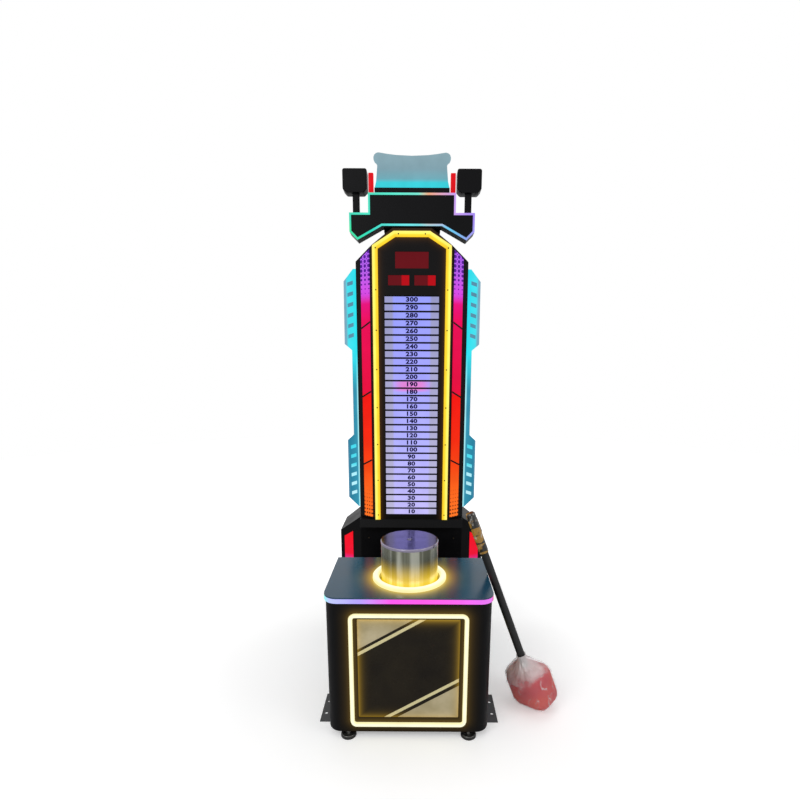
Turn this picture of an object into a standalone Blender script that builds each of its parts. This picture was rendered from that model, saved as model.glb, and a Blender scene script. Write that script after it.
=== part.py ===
"""High-striker strength tester: strike base, score tower, lit header and mallet.

Metres, +Z up, front towards -Y. Sizes are written in the machine's own frame: X runs
from the machine's centre line, Y from the front edge of the strike plate, Z from the
floor. At the end the whole machine moves so that the origin lies on the floor at the
middle of its bounding box.
"""
import math

import bmesh
import bpy
from mathutils import Matrix, Vector

# ---------------------------------------------------------------- driving sizes
GAP = 0.0003                # between pieces that touch
OVERLAP = 0.001             # how far joined bodies reach into each other
REACH = 0.02                # how far a cutter reaches past what it cuts
SHEET = 0.003               # cabinet sheet steel

# strike base
PLATE_HALF = 0.352
PLATE_DEPTH = 0.430
PLATE_TOP = 0.666
PLATE_SHEET = 0.006
PLATE_CORNER = 0.058
EDGE_LIGHT_HEIGHT = 0.020
EDGE_LIGHT_WIDTH = 0.012
RIM_WIDTH = 0.032
CASING_INSET = 0.004        # base walls behind the plate's edge, at the sides
CASING_FRONT = 0.012        # base front wall behind the plate's front edge
CASING_BOTTOM = 0.035
WINDOW_HALF = 0.213
WINDOW_LOW = 0.106
WINDOW_DROP = 0.101         # window's top edge below the plate's top
WINDOW_CORNER = 0.004
FRONT_TUBE_RADIUS = 0.009
FRONT_TUBE_BESIDE = 0.026   # tube's centre line outside the window's edge
FRONT_TUBE_ABOVE = 0.021
FRONT_TUBE_BELOW = 0.028
FRONT_TUBE_CORNER = 0.019
PANEL_LAP = 0.022           # art panel behind the window's edge
PANEL_THICK = 0.004
SIDE_LIGHT_PROUD = 0.006
SIDE_LIGHT_MARGIN = 0.014
SIDE_LIGHT_TRIM = 0.003
SIDE_CARRIER = 0.002
SIDE_CARRIER_CORNER = 0.008
SIDE_LIGHTS = ((0.149, 0.420, 0.387, 0.010),   # y from, y to, middle z, height
               (0.150, 0.366, 0.322, 0.012), (0.143, 0.420, 0.270, 0.012))

# strike pad
PAD_Y = 0.210
PAD_TOP = 0.840
DRUM_RADIUS = 0.125
DRUM_WALL = 0.006
DRUM_SUNK = 0.066           # drum's lower edge below the plate's top
DRUM_LID = 0.008
DISC_THICK = 0.012
DISC_OVERHANG = 0.0015
DISC_HOLE = 0.011
PAD_BOLT_RADIUS = 0.009
PAD_BOLT_HEAD = 0.008
HOLE_CLEARANCE = 0.003
RING_CLEARANCE = 0.011      # ring light outside the drum
RING_WIDTH = 0.027
RING_HEIGHT = 0.015
PAD_TRAVEL = 0.025
SHAFT_RADIUS = 0.020
SHAFT_FLANGE_RADIUS = 0.060
SHAFT_FLANGE_THICK = 0.008
COLLAR_RADIUS = 0.029
COLLAR_HEIGHT = 0.028
GUIDE_CLEARANCE = 0.0005
GUIDE_WALL = 0.011
GUIDE_HEIGHT = 0.060
GUIDE_FLANGE_RADIUS = 0.078
GUIDE_FLANGE_THICK = 0.010
POST_RADIUS = 0.008
POST_CIRCLE = 0.062
POST_COUNT = 4
SPRING_RADIUS = 0.047
SPRING_WIRE = 0.004
SPRING_TURNS = 6
SPRING_STEPS = 12           # straight runs in each turn
BUFFER_RADIUS = 0.040
BUFFER_HEIGHT = 0.025
SENSOR_RADIUS = 0.045
SENSOR_HEIGHT = 0.030
TABLE_TOP = 0.430
TABLE_THICK = 0.012
TABLE_HALF_X = 0.200
TABLE_HALF_Y = 0.155
LEG = 0.040
PAN_LOW = 0.050
PAN_THICK = 0.006

# bridge between base and tower foot
BRIDGE_HALF = 0.320
BRIDGE_LOW = 0.145
BRIDGE_HIGH = 0.410
BRIDGE_LIP = 0.012          # opening edge inside the bridge's outline

# tower foot
FOOT_FRONT = 0.770
FOOT_FRONT_HALF = 0.280
FOOT_HALF = 0.401
FOOT_SHOULDER_Y = 0.828
FOOT_BACK = 1.070
FOOT_LOW = 0.070
CABLE_WAY_RIM = 0.030       # foot top left in front of and behind the cable way
FOOT_SIDE_TOP = 0.670
FOOT_LIGHT_THICK = 0.004
FOOT_LIGHT_U = (0.052, 0.107)          # from the facet's front edge
FOOT_LIGHT_LOW = (0.126, 0.167)
FOOT_LIGHT_HIGH = (0.675, 0.640)
VISOR_FRONT = 0.715
VISOR_DROP = 0.042
VISOR_HALF = 0.279

# tower
TOWER_FRONT = 0.732
TOWER_FRONT_HALF = 0.200
TOWER_HALF = 0.283
TOWER_SHOULDER_Y = 0.792
TOWER_BACK = 1.042
TOWER_LOW = 0.764
TOWER_SIDE_TOP = 2.093
TOWER_CORNER_TOP = 2.155
TOWER_TOP = 2.235
TOWER_TOP_HALF = 0.095
BEZEL_THICK = 0.004
BEZEL_LIP = 0.033           # front wall left around the tower's front opening
BORDER_OUTER = 0.194
BORDER_WIDTH = 0.027
BORDER_THICK = 0.006
BORDER_TOP = 2.220
BORDER_TOP_HALF = 0.088
SCALE_HALF = 0.136
SCALE_LOW = 0.789
SCALE_HIGH = 1.924
SCALE_THICK = 0.005
SCALE_LAP = 0.012           # scale and display board behind the bezel
MAIN_DISPLAY = (-0.0815, 0.0815, 2.051, 2.127)
SMALL_DISPLAYS = ((-0.117, -0.013, 1.972, 2.019), (0.013, 0.117, 1.972, 2.019))
DISPLAY_DEPTH = 0.030
DISPLAY_RECESS = 0.001
DISPLAY_BOARD = 0.003
DISPLAY_BOARD_HALF = 0.128
FACET_MARGIN = 0.012
FACET_THICK = 0.004
FACET_LIGHT_U = (0.010, 0.067)          # from the facet's front edge
WING_Y = 0.840
WING_THICK = 0.008
WING_OUTLINE = ((0.020, 2.066), (0.069, 2.005), (0.071, 1.694), (0.033, 1.662),
                (0.033, 1.214), (0.067, 1.183), (0.068, 0.862), (0.013, 0.807))   # out from the tower
WING_SLOTS = 6
WING_SLOT_PITCH = 0.052
WING_SLOT_TALL = 0.030
WING_SLOT_WIDE = 0.030
WING_SLOT_SLANT = 0.010
WING_SLOT_OUT = 0.0365
WING_SLOT_STARTS = (0.873, 1.721)

# header
HEADER_FRONT = 0.735
HEADER_BACK = 0.818
HEADER_OUTLINE = ((0.145, 2.245), (0.265, 2.181), (0.303, 2.218), (0.303, 2.303),
                  (0.211, 2.303), (0.211, 2.391))
HEADER_WALL = 0.004
HEADER_LIGHT_WIDTH = 0.009
HEADER_LIGHT_THICK = 0.005
NECK_HALF = 0.140
NECK_DEPTH = 0.050
NECK_HIGH = 2.385
HOLDER_HALF = 0.180
HOLDER_HEIGHT = 0.025
HOLDER_FLOOR = 0.008
HOLDER_CHEEK = 0.006
MARQUEE_Y = 0.758
MARQUEE_THICK = 0.010
MARQUEE_OUTLINE = ((0.179, 2.418), (0.172, 2.446), (0.168, 2.490), (0.166, 2.514),
                   (0.170, 2.522), (0.178, 2.528), (0.183, 2.538), (0.184, 2.549),
                   (0.180, 2.560), (0.172, 2.567), (0.161, 2.570), (0.146, 2.568),
                   (0.120, 2.564), (0.075, 2.559))
MARQUEE_DIP = 2.556
BAR_X = (0.184, 0.208)
BAR_Y = (0.737, 0.760)
BAR_HIGH = 2.478
BAR_EDGE = 0.003
STEM_X = (0.256, 0.288)
STEM_Y = (0.764, 0.796)
STEM_HEIGHT = 0.092
STEM_LET_IN = 0.002
BLOCK_X = (0.216, 0.333)
BLOCK_Y = (0.745, 0.815)
BLOCK_HEIGHT = 0.105
BLOCK_CUT = 0.016            # lower corners cut off
BLOCK_TOP_CUT = 0.006
BLOCK_EDGE = 0.003

# doors, hinges and locks
DOOR_HALF = 0.262
DOOR_LOW = 0.4433
DOOR_HIGH = 0.7117
DOOR_LAP = 0.022
REAR_DOOR_HALF = 0.190
REAR_DOOR_LOW = 0.860
REAR_DOOR_HIGH = 1.800
KNUCKLE_RADIUS = 0.005
KNUCKLE_LENGTH = 0.030
FOOT_HINGE_LENGTH = 0.420
REAR_HINGE_LENGTH = 0.820
PIN_RADIUS = 0.0022
PIN_CLEARANCE = 0.0003
LEAF_THICK = 0.002
LEAF_LENGTH = 0.020
LEAF_GAP = 0.002            # between the fixed leaf and the turning knuckle
HINGE_SETBACK = 0.0075      # hinge axis outside the door's edge
LOCK_RADIUS = 0.008
LOCK_CLEARANCE = 0.0004
LOCK_HEAD_RADIUS = 0.013
LOCK_HEAD_THICK = 0.004
CAM_LENGTH = 0.032
CAM_WIDTH = 0.014
CAM_THICK = 0.002
LEVER_LENGTH = 0.034
LEVER_HIGH = 0.005
VENT_COUNT = 7
VENT_PITCH = 0.030
VENT_HALF = 0.070
VENT_MARGIN = 0.100
VENT_TALL = 0.008

# mains inlet and rocker on the foot's rear wall
INLET_X = -0.180
INLET_Z = 0.240
INLET_HALF = (0.0300, 0.0260)
INLET_FLANGE = 0.003
INLET_LIP = 0.004           # flange beyond its cut-out, all round
INLET_DEPTH = 0.024
SOCKET_HALF = (0.0125, 0.0085)
SOCKET_DEPTH = 0.018
SOCKET_DROP = 0.0110
ROCKER_HALF = (0.0095, 0.0060)
ROCKER_RISE = 0.0125
ROCKER_RADIUS = 0.0058
ROCKER_CLEARANCE = 0.0008
ROCKER_TILT = 10            # degrees that the face leans down when switched off

# electronics on the tower's inner side walls
SUPPLY_SIZE = (0.050, 0.110, 0.200)
SUPPLY_AT = (0.850, 1.000)
CONTROL_SIZE = (0.0020, 0.170, 0.200)
CONTROL_AT = (0.830, 1.300)
CONTROL_STANDOFF = 0.008
POST_CORNER = 0.010
BOARD_POST_RADIUS = 0.004
CHIPS = ((0.025, 0.040, 0.040, 0.030, 0.010), (0.095, 0.050, 0.050, 0.060, 0.014),
         (0.040, 0.130, 0.090, 0.025, 0.016))

# brackets, feet and fasteners
BRACKET_THICK = 0.004
BRACKET_LEAF = 0.120
BRACKET_FLANGE = 0.056
BRACKET_LENGTH = 0.190
BRACKET_Y = (0.113, 0.880)
BRACKET_HOLES = (0.055, 0.135)
BRACKET_HOLE_RADIUS = 0.007
BRACKET_HOLE_OUT = 0.036    # floor holes from the cabinet's wall
BRACKET_SLOT = 0.044
BRACKET_BOLT_Z = 0.055
FOOT_SOLE_RADIUS = 0.034
FOOT_SOLE_HEIGHT = 0.014
STUD_RADIUS = 0.008
STUD_CLEARANCE = 0.0005
STUD_ABOVE = 0.030
BASE_FOOT = (0.262, 0.036)
TOWER_FOOT = (0.330, 1.000)
BOLT_RADIUS = 0.011
BOLT_HEAD = 0.0065
BOLT_SEAT = 0.0005          # head let into its face, so that the two are one body
BRIDGE_BOLT_FRONT = 0.045   # from the base's back wall
BRIDGE_BOLT_REAR = 0.065    # from the foot's front wall
BRIDGE_BOLT_Z = (0.175, 0.380)

# mallet
LEAN = math.radians(20.5)
HANDLE_RADIUS = 0.018
HANDLE_Y = 0.238
MALLET_LENGTH = 1.000
GRIP_LENGTH = 0.195
GRIP_WALL = 0.0035
GRIP_CAP = 0.006
HEAD_SIZE = (0.205, 0.155, 0.205)
HEAD_EDGE = 0.054
HEAD_TURN = math.radians(-50.0)

# sizes worked out from the ones above
PLATE_LOW = PLATE_TOP - PLATE_SHEET
CASING_TOP = PLATE_LOW - EDGE_LIGHT_HEIGHT
CASING_HALF = PLATE_HALF - CASING_INSET
CASING_BACK = PLATE_DEPTH
WINDOW_HIGH = PLATE_TOP - WINDOW_DROP
DRUM_LOW = PLATE_TOP - DRUM_SUNK
RING_INNER = DRUM_RADIUS + RING_CLEARANCE
RING_OUTER = RING_INNER + RING_WIDTH
DRUM_TOP = PAD_TOP - DISC_THICK - GAP
SHAFT_TOP = DRUM_TOP - DRUM_LID - GAP
SPRING_TOP = SHAFT_TOP - SHAFT_FLANGE_THICK - GAP
SENSOR_LOW = TABLE_TOP + GAP
BUFFER_LOW = SENSOR_LOW + SENSOR_HEIGHT + GAP
SHAFT_LOW = BUFFER_LOW + BUFFER_HEIGHT + PAD_TRAVEL + GAP
GUIDE_LOW = SHAFT_LOW + COLLAR_HEIGHT + GAP
SPRING_LOW = GUIDE_LOW + GUIDE_FLANGE_THICK + GAP
BEZEL_BACK = TOWER_FRONT + BEZEL_THICK
WALL_FRONT = BEZEL_BACK + GAP
HEADER_TOP = HEADER_OUTLINE[-1][1]
EAR_TOP = HEADER_OUTLINE[3][1]
DOOR_OUTER = FOOT_FRONT - GAP - SHEET
REAR_DOOR_OUTER = TOWER_BACK + GAP + SHEET

# ---------------------------------------------------------------- scene set-up
for old in list(bpy.data.objects):
    bpy.data.objects.remove(old, do_unlink=True)

machine = bpy.data.collections.new("strength_tester")
cutters = bpy.data.collections.new("cutters")
bpy.context.scene.collection.children.link(machine)
bpy.context.scene.collection.children.link(cutters)


def material(name, colour, roughness, metallic=0.0):
    made = bpy.data.materials.new(name)
    made.use_nodes = True
    shader = made.node_tree.nodes["Principled BSDF"]
    shader.inputs["Base Color"].default_value = (*colour, 1.0)
    shader.inputs["Roughness"].default_value = roughness
    shader.inputs["Metallic"].default_value = metallic
    return made


BLACK = material("black_powder_coat", (0.015, 0.015, 0.017), 0.55, 0.3)
DARK = material("plate_lacquer", (0.05, 0.06, 0.07), 0.3, 0.4)
STEEL = material("brushed_steel", (0.6, 0.6, 0.58), 0.3, 1.0)
ZINC = material("zinc_steel", (0.55, 0.55, 0.57), 0.4, 1.0)
RUBBER = material("black_rubber", (0.02, 0.02, 0.02), 0.7)
DISC = material("pad_disc", (0.09, 0.10, 0.10), 0.35, 0.2)
WARM = material("warm_light", (1.0, 0.92, 0.45), 0.4)
YELLOW = material("yellow_light", (1.0, 0.80, 0.10), 0.4)
CYAN = material("cyan_light", (0.05, 0.80, 0.85), 0.3)
RGB = material("colour_light", (0.75, 0.45, 0.90), 0.4)
LILAC = material("scale_acrylic", (0.60, 0.62, 0.95), 0.3)
FACET = material("facet_light", (0.85, 0.05, 0.10), 0.35)
RED = material("red_light", (0.80, 0.02, 0.03), 0.3)
WINDOW_RED = material("display_window", (0.12, 0.0, 0.0), 0.15)
MARQUEE = material("marquee_acrylic", (0.30, 0.50, 0.58), 0.25)
GOLD = material("art_panel", (0.70, 0.62, 0.40), 0.45)
GREEN = material("circuit_board", (0.03, 0.20, 0.08), 0.5)
MALLET_RED = material("mallet_red", (0.55, 0.03, 0.05), 0.45)
MALLET_GRIP = material("mallet_grip", (0.35, 0.27, 0.12), 0.6)
SPRING_STEEL = material("spring_steel", (0.35, 0.36, 0.38), 0.35, 1.0)

root = bpy.data.objects.new("machine_frame", None)
machine.objects.link(root)


def joint_empty(name, at, parent=None):
    """An empty on a joint's axis, which the moving pieces hang from."""
    empty = bpy.data.objects.new(name, None)
    machine.objects.link(empty)
    empty.parent = parent or root
    empty.location = Vector(at) - (origin_of(parent) if parent else Vector())
    return empty


def origin_of(empty):
    """Place of an empty in the machine's own frame (empties here only shift)."""
    total = Vector()
    while empty and empty != root:
        total += empty.location
        empty = empty.parent
    return total


def add(name, mesh, mat, parent=None, place=None):
    """Link a mesh as a named piece whose data is in the machine's own frame."""
    piece = bpy.data.objects.new(name, mesh)
    mesh.name = name
    mesh.materials.clear()
    mesh.materials.append(mat)
    machine.objects.link(piece)
    piece.parent = parent or root
    place = place or Matrix.Identity(4)
    piece.matrix_basis = Matrix.Translation(-origin_of(parent)) @ place if parent else place
    return piece


# ---------------------------------------------------------------- outlines
def arc(centre, radius, start, end, steps):
    """Points on a circle from one angle to another, in degrees."""
    turn = [math.radians(start + (end - start) * i / steps) for i in range(steps + 1)]
    return [(centre[0] + radius * math.cos(a), centre[1] + radius * math.sin(a)) for a in turn]


def circle(centre, radius, steps=16):
    return arc(centre, radius, 0, 360 - 360 / steps, steps - 1)


def rectangle(x0, x1, y0, y1):
    return [(x0, y0), (x1, y0), (x1, y1), (x0, y1)]


def rounded_rectangle(x0, x1, y0, y1, radius, steps=4):
    return (arc((x1 - radius, y0 + radius), radius, -90, 0, steps)
            + arc((x1 - radius, y1 - radius), radius, 0, 90, steps)
            + arc((x0 + radius, y1 - radius), radius, 90, 180, steps)
            + arc((x0 + radius, y0 + radius), radius, 180, 270, steps))


def both_sides(half):
    """A right-hand half outline, bottom to top, closed by its mirror image."""
    mirrored = [(-x, y) for x, y in reversed(half) if abs(x) > 1e-9]
    return list(half) + mirrored


def inset(outline, distance):
    """The outline moved inwards by a distance; the points run anticlockwise."""
    count = len(outline)
    points = [Vector(p) for p in outline]
    result = []
    for i in range(count):
        before = (points[i] - points[i - 1]).normalized()
        after = (points[(i + 1) % count] - points[i]).normalized()
        normal = Vector((-before.y, before.x)) + Vector((-after.y, after.x))
        normal /= normal.length
        scale = distance / max(0.2, normal.dot(Vector((-after.y, after.x))))
        result.append(tuple(points[i] + normal * scale))
    return result


def base_outline(half, front, back, corner, steps=6):
    """Base plan: rounded front corners and a straight rear edge."""
    return (arc((-half + corner, front + corner), corner, 180, 270, steps)
            + arc((half - corner, front + corner), corner, 270, 360, steps)
            + [(half, back), (-half, back)])


def faceted_plan(front, front_half, shoulder, half, back):
    return [(-front_half, front), (front_half, front), (half, shoulder),
            (half, back), (-half, back), (-half, shoulder)]


# ---------------------------------------------------------------- solids
FACING = {"front": Matrix(((1, 0, 0), (0, 0, -1), (0, 1, 0))).to_4x4(),
          "side": Matrix(((0, 0, 1), (1, 0, 0), (0, 1, 0))).to_4x4(),
          "up": Matrix.Identity(4)}
DEPTH_AXIS = {"front": Vector((0, 1, 0)), "side": Vector((1, 0, 0)), "up": Vector((0, 0, 1))}


def slab_mesh(loops, thickness):
    """A flat outline with its holes as a mesh of the given thickness, centred on z = 0."""
    curve = bpy.data.curves.new("outline", "CURVE")
    curve.dimensions = "2D"
    curve.fill_mode = "BOTH"
    curve.extrude = thickness / 2
    for loop in loops:
        spline = curve.splines.new("POLY")
        spline.points.add(len(loop) - 1)
        for point, (x, y) in zip(spline.points, loop):
            point.co = (x, y, 0, 1)
        spline.use_cyclic_u = True
    holder = bpy.data.objects.new("outline", curve)
    cutters.objects.link(holder)
    mesh = mesh_of(holder)
    bpy.data.objects.remove(holder)
    weld(mesh)
    return mesh


def mesh_of(piece):
    graph = bpy.context.evaluated_depsgraph_get()
    graph.update()
    return bpy.data.meshes.new_from_object(piece.evaluated_get(graph))


def weld(mesh):
    work = bmesh.new()
    work.from_mesh(mesh)
    bmesh.ops.remove_doubles(work, verts=work.verts, dist=0.00001)
    bmesh.ops.recalc_face_normals(work, faces=work.faces)
    work.to_mesh(mesh)
    work.free()


def between(low, high, facing):
    """Placement of a centred slab so that it spans low to high along its facing axis."""
    return Matrix.Translation(DEPTH_AXIS[facing] * (low + high) / 2) @ FACING[facing]


def slab(name, loops, low, high, facing, mat, parent=None):
    mesh = slab_mesh(loops, high - low)
    mesh.transform(between(low, high, facing))
    return add(name, mesh, mat, parent)


def block_mesh(low, high):
    work = bmesh.new()
    size = Vector(high) - Vector(low)
    middle = (Vector(high) + Vector(low)) / 2
    bmesh.ops.create_cube(work, size=1.0, matrix=Matrix.Translation(middle) @ Matrix.Diagonal((*size, 1)))
    mesh = bpy.data.meshes.new("block")
    work.to_mesh(mesh)
    work.free()
    return mesh


def block(name, low, high, mat, parent=None, edge=0.0, steps=2):
    piece = add(name, block_mesh(low, high), mat, parent)
    if edge:
        round_edges(piece, edge, steps)
    return piece


def round_edges(piece, edge, steps=2):
    bevel = piece.modifiers.new("edges", "BEVEL")
    bevel.width = edge
    bevel.segments = steps
    bevel.limit_method = "ANGLE"


def turned_mesh(profile, steps=32, ring=False):
    """A profile of (radius, height), top to bottom on its outer side, turned about Z."""
    mesh = bpy.data.meshes.new("profile")
    count = len(profile)
    edges = [(i, i + 1) for i in range(count - 1)]
    if ring:
        edges.append((count - 1, 0))
    mesh.from_pydata([(r, 0, z) for r, z in profile], edges, [])
    holder = bpy.data.objects.new("profile", mesh)
    cutters.objects.link(holder)
    screw = holder.modifiers.new("turn", "SCREW")
    screw.steps = steps
    screw.render_steps = steps
    screw.use_merge_vertices = True
    screw.merge_threshold = 0.0001
    screw.use_normal_calculate = True
    result = mesh_of(holder)
    bpy.data.objects.remove(holder)
    weld(result)
    return result


def turned(name, profile, at, mat, parent=None, steps=32, ring=False, axis="Z"):
    mesh = turned_mesh(profile, steps, ring)
    turn = {"Z": Matrix.Identity(4), "Y": Matrix.Rotation(math.radians(90), 4, "X"),
            "-Y": Matrix.Rotation(math.radians(-90), 4, "X")}[axis]
    mesh.transform(Matrix.Translation(at) @ turn)
    piece = add(name, mesh, mat, parent)
    mesh.shade_smooth()
    mesh.set_sharp_from_angle(angle=math.radians(35))
    return piece


def rod_profile(radius, low, high):
    return [(0, high), (radius, high), (radius, low), (0, low)]


def tube(name, path, radius, mat, closed=False, sides=2, parent=None):
    """A round tube along a path, capped at its ends unless the path is closed."""
    curve = bpy.data.curves.new(name, "CURVE")
    curve.dimensions = "3D"
    curve.bevel_depth = radius
    curve.bevel_resolution = sides
    curve.use_fill_caps = not closed
    spline = curve.splines.new("POLY")
    spline.points.add(len(path) - 1)
    for point, place in zip(spline.points, path):
        point.co = (*place, 1)
    spline.use_cyclic_u = closed
    holder = bpy.data.objects.new(name, curve)
    cutters.objects.link(holder)
    mesh = mesh_of(holder)
    bpy.data.objects.remove(holder)
    weld(mesh)
    mesh.shade_smooth()
    mesh.set_sharp_from_angle(angle=math.radians(50))
    return add(name, mesh, mat, parent)


def joined(meshes):
    """Several meshes as one, each still a separate body."""
    work = bmesh.new()
    for mesh in meshes:
        work.from_mesh(mesh)
    result = bpy.data.meshes.new("joined")
    work.to_mesh(result)
    work.free()
    return result


def helper(name, mesh):
    """A wire-only shape that a Boolean uses."""
    piece = bpy.data.objects.new(name, mesh)
    cutters.objects.link(piece)
    piece.parent = root
    piece.hide_render = True
    piece.display_type = "WIRE"
    return piece


def boolean(piece, mesh, operation):
    modifier = piece.modifiers.new(operation.lower(), "BOOLEAN")
    modifier.operation = operation
    modifier.solver = "EXACT"
    modifier.object = helper(f"{piece.name}_{operation.lower()}_{len(piece.modifiers)}", mesh)
    return piece


def cut(piece, *meshes):
    for mesh in meshes:
        boolean(piece, mesh, "DIFFERENCE")
    return piece


def join(piece, *meshes):
    for mesh in meshes:
        boolean(piece, mesh, "UNION")
    return piece


def slab_between(loops, low, high, facing):
    mesh = slab_mesh(loops, high - low)
    mesh.transform(between(low, high, facing))
    return mesh


def rod_mesh(start, end, radius, steps=16):
    """A straight round bar between two points."""
    start, end = Vector(start), Vector(end)
    work = bmesh.new()
    spin = (end - start).to_track_quat("Z", "Y").to_matrix().to_4x4()
    bmesh.ops.create_cone(work, cap_ends=True, segments=steps, radius1=radius, radius2=radius,
                          depth=(end - start).length, matrix=Matrix.Translation((start + end) / 2) @ spin)
    mesh = bpy.data.meshes.new("rod")
    work.to_mesh(mesh)
    work.free()
    return mesh


def bolt_heads(places):
    """Domed bolt heads; each place is a point on a face and the face's outward direction."""
    meshes = []
    for point, outward in places:
        outward = Vector(outward)
        spin = outward.to_track_quat("Z", "Y").to_matrix().to_4x4()
        centre = Vector(point) + outward * (BOLT_HEAD / 2 - BOLT_SEAT)
        work = bmesh.new()
        bmesh.ops.create_cone(work, cap_ends=True, segments=12, radius1=BOLT_RADIUS,
                              radius2=BOLT_RADIUS * 0.6, depth=BOLT_HEAD,
                              matrix=Matrix.Translation(centre) @ spin)
        mesh = bpy.data.meshes.new("head")
        work.to_mesh(mesh)
        work.free()
        meshes.append(mesh)
    return meshes


# ---------------------------------------------------------------- strike base
def build_base_casing():
    """Sheet walls around the base, with a front window and a rear way into the bridge."""
    outline = base_outline(CASING_HALF, CASING_FRONT, CASING_BACK, PLATE_CORNER)
    walls = slab("base_casing", [outline, inset(outline, SHEET)], CASING_BOTTOM,
                 CASING_TOP - GAP, "up", BLACK)
    window = slab_between([rounded_rectangle(-WINDOW_HALF, WINDOW_HALF, WINDOW_LOW, WINDOW_HIGH,
                                             WINDOW_CORNER)],
                          CASING_FRONT - SHEET, CASING_FRONT + 2 * SHEET, "front")
    way = block_mesh((-BRIDGE_HALF + BRIDGE_LIP, CASING_BACK - 2 * SHEET, BRIDGE_LOW + BRIDGE_LIP),
                     (BRIDGE_HALF - BRIDGE_LIP, CASING_BACK + SHEET, BRIDGE_HIGH - BRIDGE_LIP))
    cut(walls, window, way)


def build_top_plate():
    """Top sheet with a stiff rim under it and a round hole that the drum passes through."""
    outline = base_outline(PLATE_HALF, 0, PLATE_DEPTH, PLATE_CORNER)
    hole = circle((0, PAD_Y), DRUM_RADIUS + HOLE_CLEARANCE, 40)
    plate = slab("base_top_plate", [outline, hole], PLATE_LOW, PLATE_TOP, "up", DARK)
    rim_outer = inset(outline, EDGE_LIGHT_WIDTH + GAP)
    rim = slab_between([rim_outer, inset(outline, EDGE_LIGHT_WIDTH + RIM_WIDTH)],
                       CASING_TOP, PLATE_LOW + PLATE_SHEET / 2, "up")
    join(plate, rim)


def build_edge_light():
    """Light strip under the plate's edge, around the sides and the front."""
    outline = base_outline(PLATE_HALF, 0, PLATE_DEPTH, PLATE_CORNER)
    inner = inset(outline, EDGE_LIGHT_WIDTH)
    corner_points = outline[:-2]
    inner_points = inner[:-2]
    half = PLATE_HALF
    strip = ([(-half, PLATE_DEPTH)] + corner_points + [(half, PLATE_DEPTH)]
             + [(half - EDGE_LIGHT_WIDTH, PLATE_DEPTH)] + inner_points[::-1]
             + [(-half + EDGE_LIGHT_WIDTH, PLATE_DEPTH)])
    slab("plate_edge_light", [strip], CASING_TOP, PLATE_LOW - GAP, "up", RGB)


def build_front():
    """Recessed art panel and the light tube around its window."""
    back = CASING_FRONT + SHEET + GAP
    panel = rectangle(-WINDOW_HALF - PANEL_LAP, WINDOW_HALF + PANEL_LAP,
                      WINDOW_LOW - PANEL_LAP, WINDOW_HIGH + PANEL_LAP)
    slab("front_panel", [panel], back, back + PANEL_THICK, "front", GOLD)
    half = WINDOW_HALF + FRONT_TUBE_BESIDE
    path = rounded_rectangle(-half, half, WINDOW_LOW - FRONT_TUBE_BELOW,
                             WINDOW_HIGH + FRONT_TUBE_ABOVE, FRONT_TUBE_CORNER, 6)
    y = CASING_FRONT - FRONT_TUBE_RADIUS - GAP
    tube("front_light_tube", [(x, y, z) for x, z in path], FRONT_TUBE_RADIUS, WARM, closed=True)


def build_side_lights():
    """On each side, a thin dark carrier with three light bars across it."""
    y0 = min(bar[0] for bar in SIDE_LIGHTS)
    y1 = max(bar[1] for bar in SIDE_LIGHTS)
    z0 = min(bar[2] for bar in SIDE_LIGHTS) - SIDE_LIGHT_MARGIN
    z1 = max(bar[2] for bar in SIDE_LIGHTS) + SIDE_LIGHT_MARGIN
    for name, side in (("left", -1), ("right", 1)):
        inner = CASING_HALF + GAP
        faces = sorted((side * inner, side * (inner + SIDE_CARRIER)))
        carrier = slab(f"side_lights_{name}", [rounded_rectangle(y0, y1, z0, z1, SIDE_CARRIER_CORNER, 2)],
                       *faces, "side", CYAN)
        for bar_y0, bar_y1, z, height in SIDE_LIGHTS:
            faces = sorted((side * (inner + SIDE_CARRIER / 2), side * (inner + SIDE_LIGHT_PROUD)))
            trim = SIDE_LIGHT_TRIM
            bar = rounded_rectangle(bar_y0 + trim, bar_y1 - trim, z - height / 2, z + height / 2,
                                    height * 0.45, 3)
            join(carrier, slab_between([bar], *faces, "side"))


def build_impact_frame():
    """Floor pan, four legs and the table that takes the blow, welded into one."""
    outline = inset(base_outline(CASING_HALF, CASING_FRONT, CASING_BACK, PLATE_CORNER), SHEET + GAP)
    holes = [circle((side * BASE_FOOT[0], BASE_FOOT[1]), STUD_RADIUS + STUD_CLEARANCE, 12)
             for side in (-1, 1)]
    frame = slab("impact_frame", [outline] + holes, PAN_LOW, PAN_LOW + PAN_THICK, "up", BLACK)
    for side in (-1, 1):
        for end in (-1, 1):
            x = side * (TABLE_HALF_X - LEG)
            y = PAD_Y + end * (TABLE_HALF_Y - LEG)
            join(frame, block_mesh((x - LEG / 2, y - LEG / 2, PAN_LOW + PAN_THICK - OVERLAP),
                                   (x + LEG / 2, y + LEG / 2, TABLE_TOP - TABLE_THICK + OVERLAP)))
    join(frame, block_mesh((-TABLE_HALF_X, PAD_Y - TABLE_HALF_Y, TABLE_TOP - TABLE_THICK),
                           (TABLE_HALF_X, PAD_Y + TABLE_HALF_Y, TABLE_TOP)))


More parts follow.
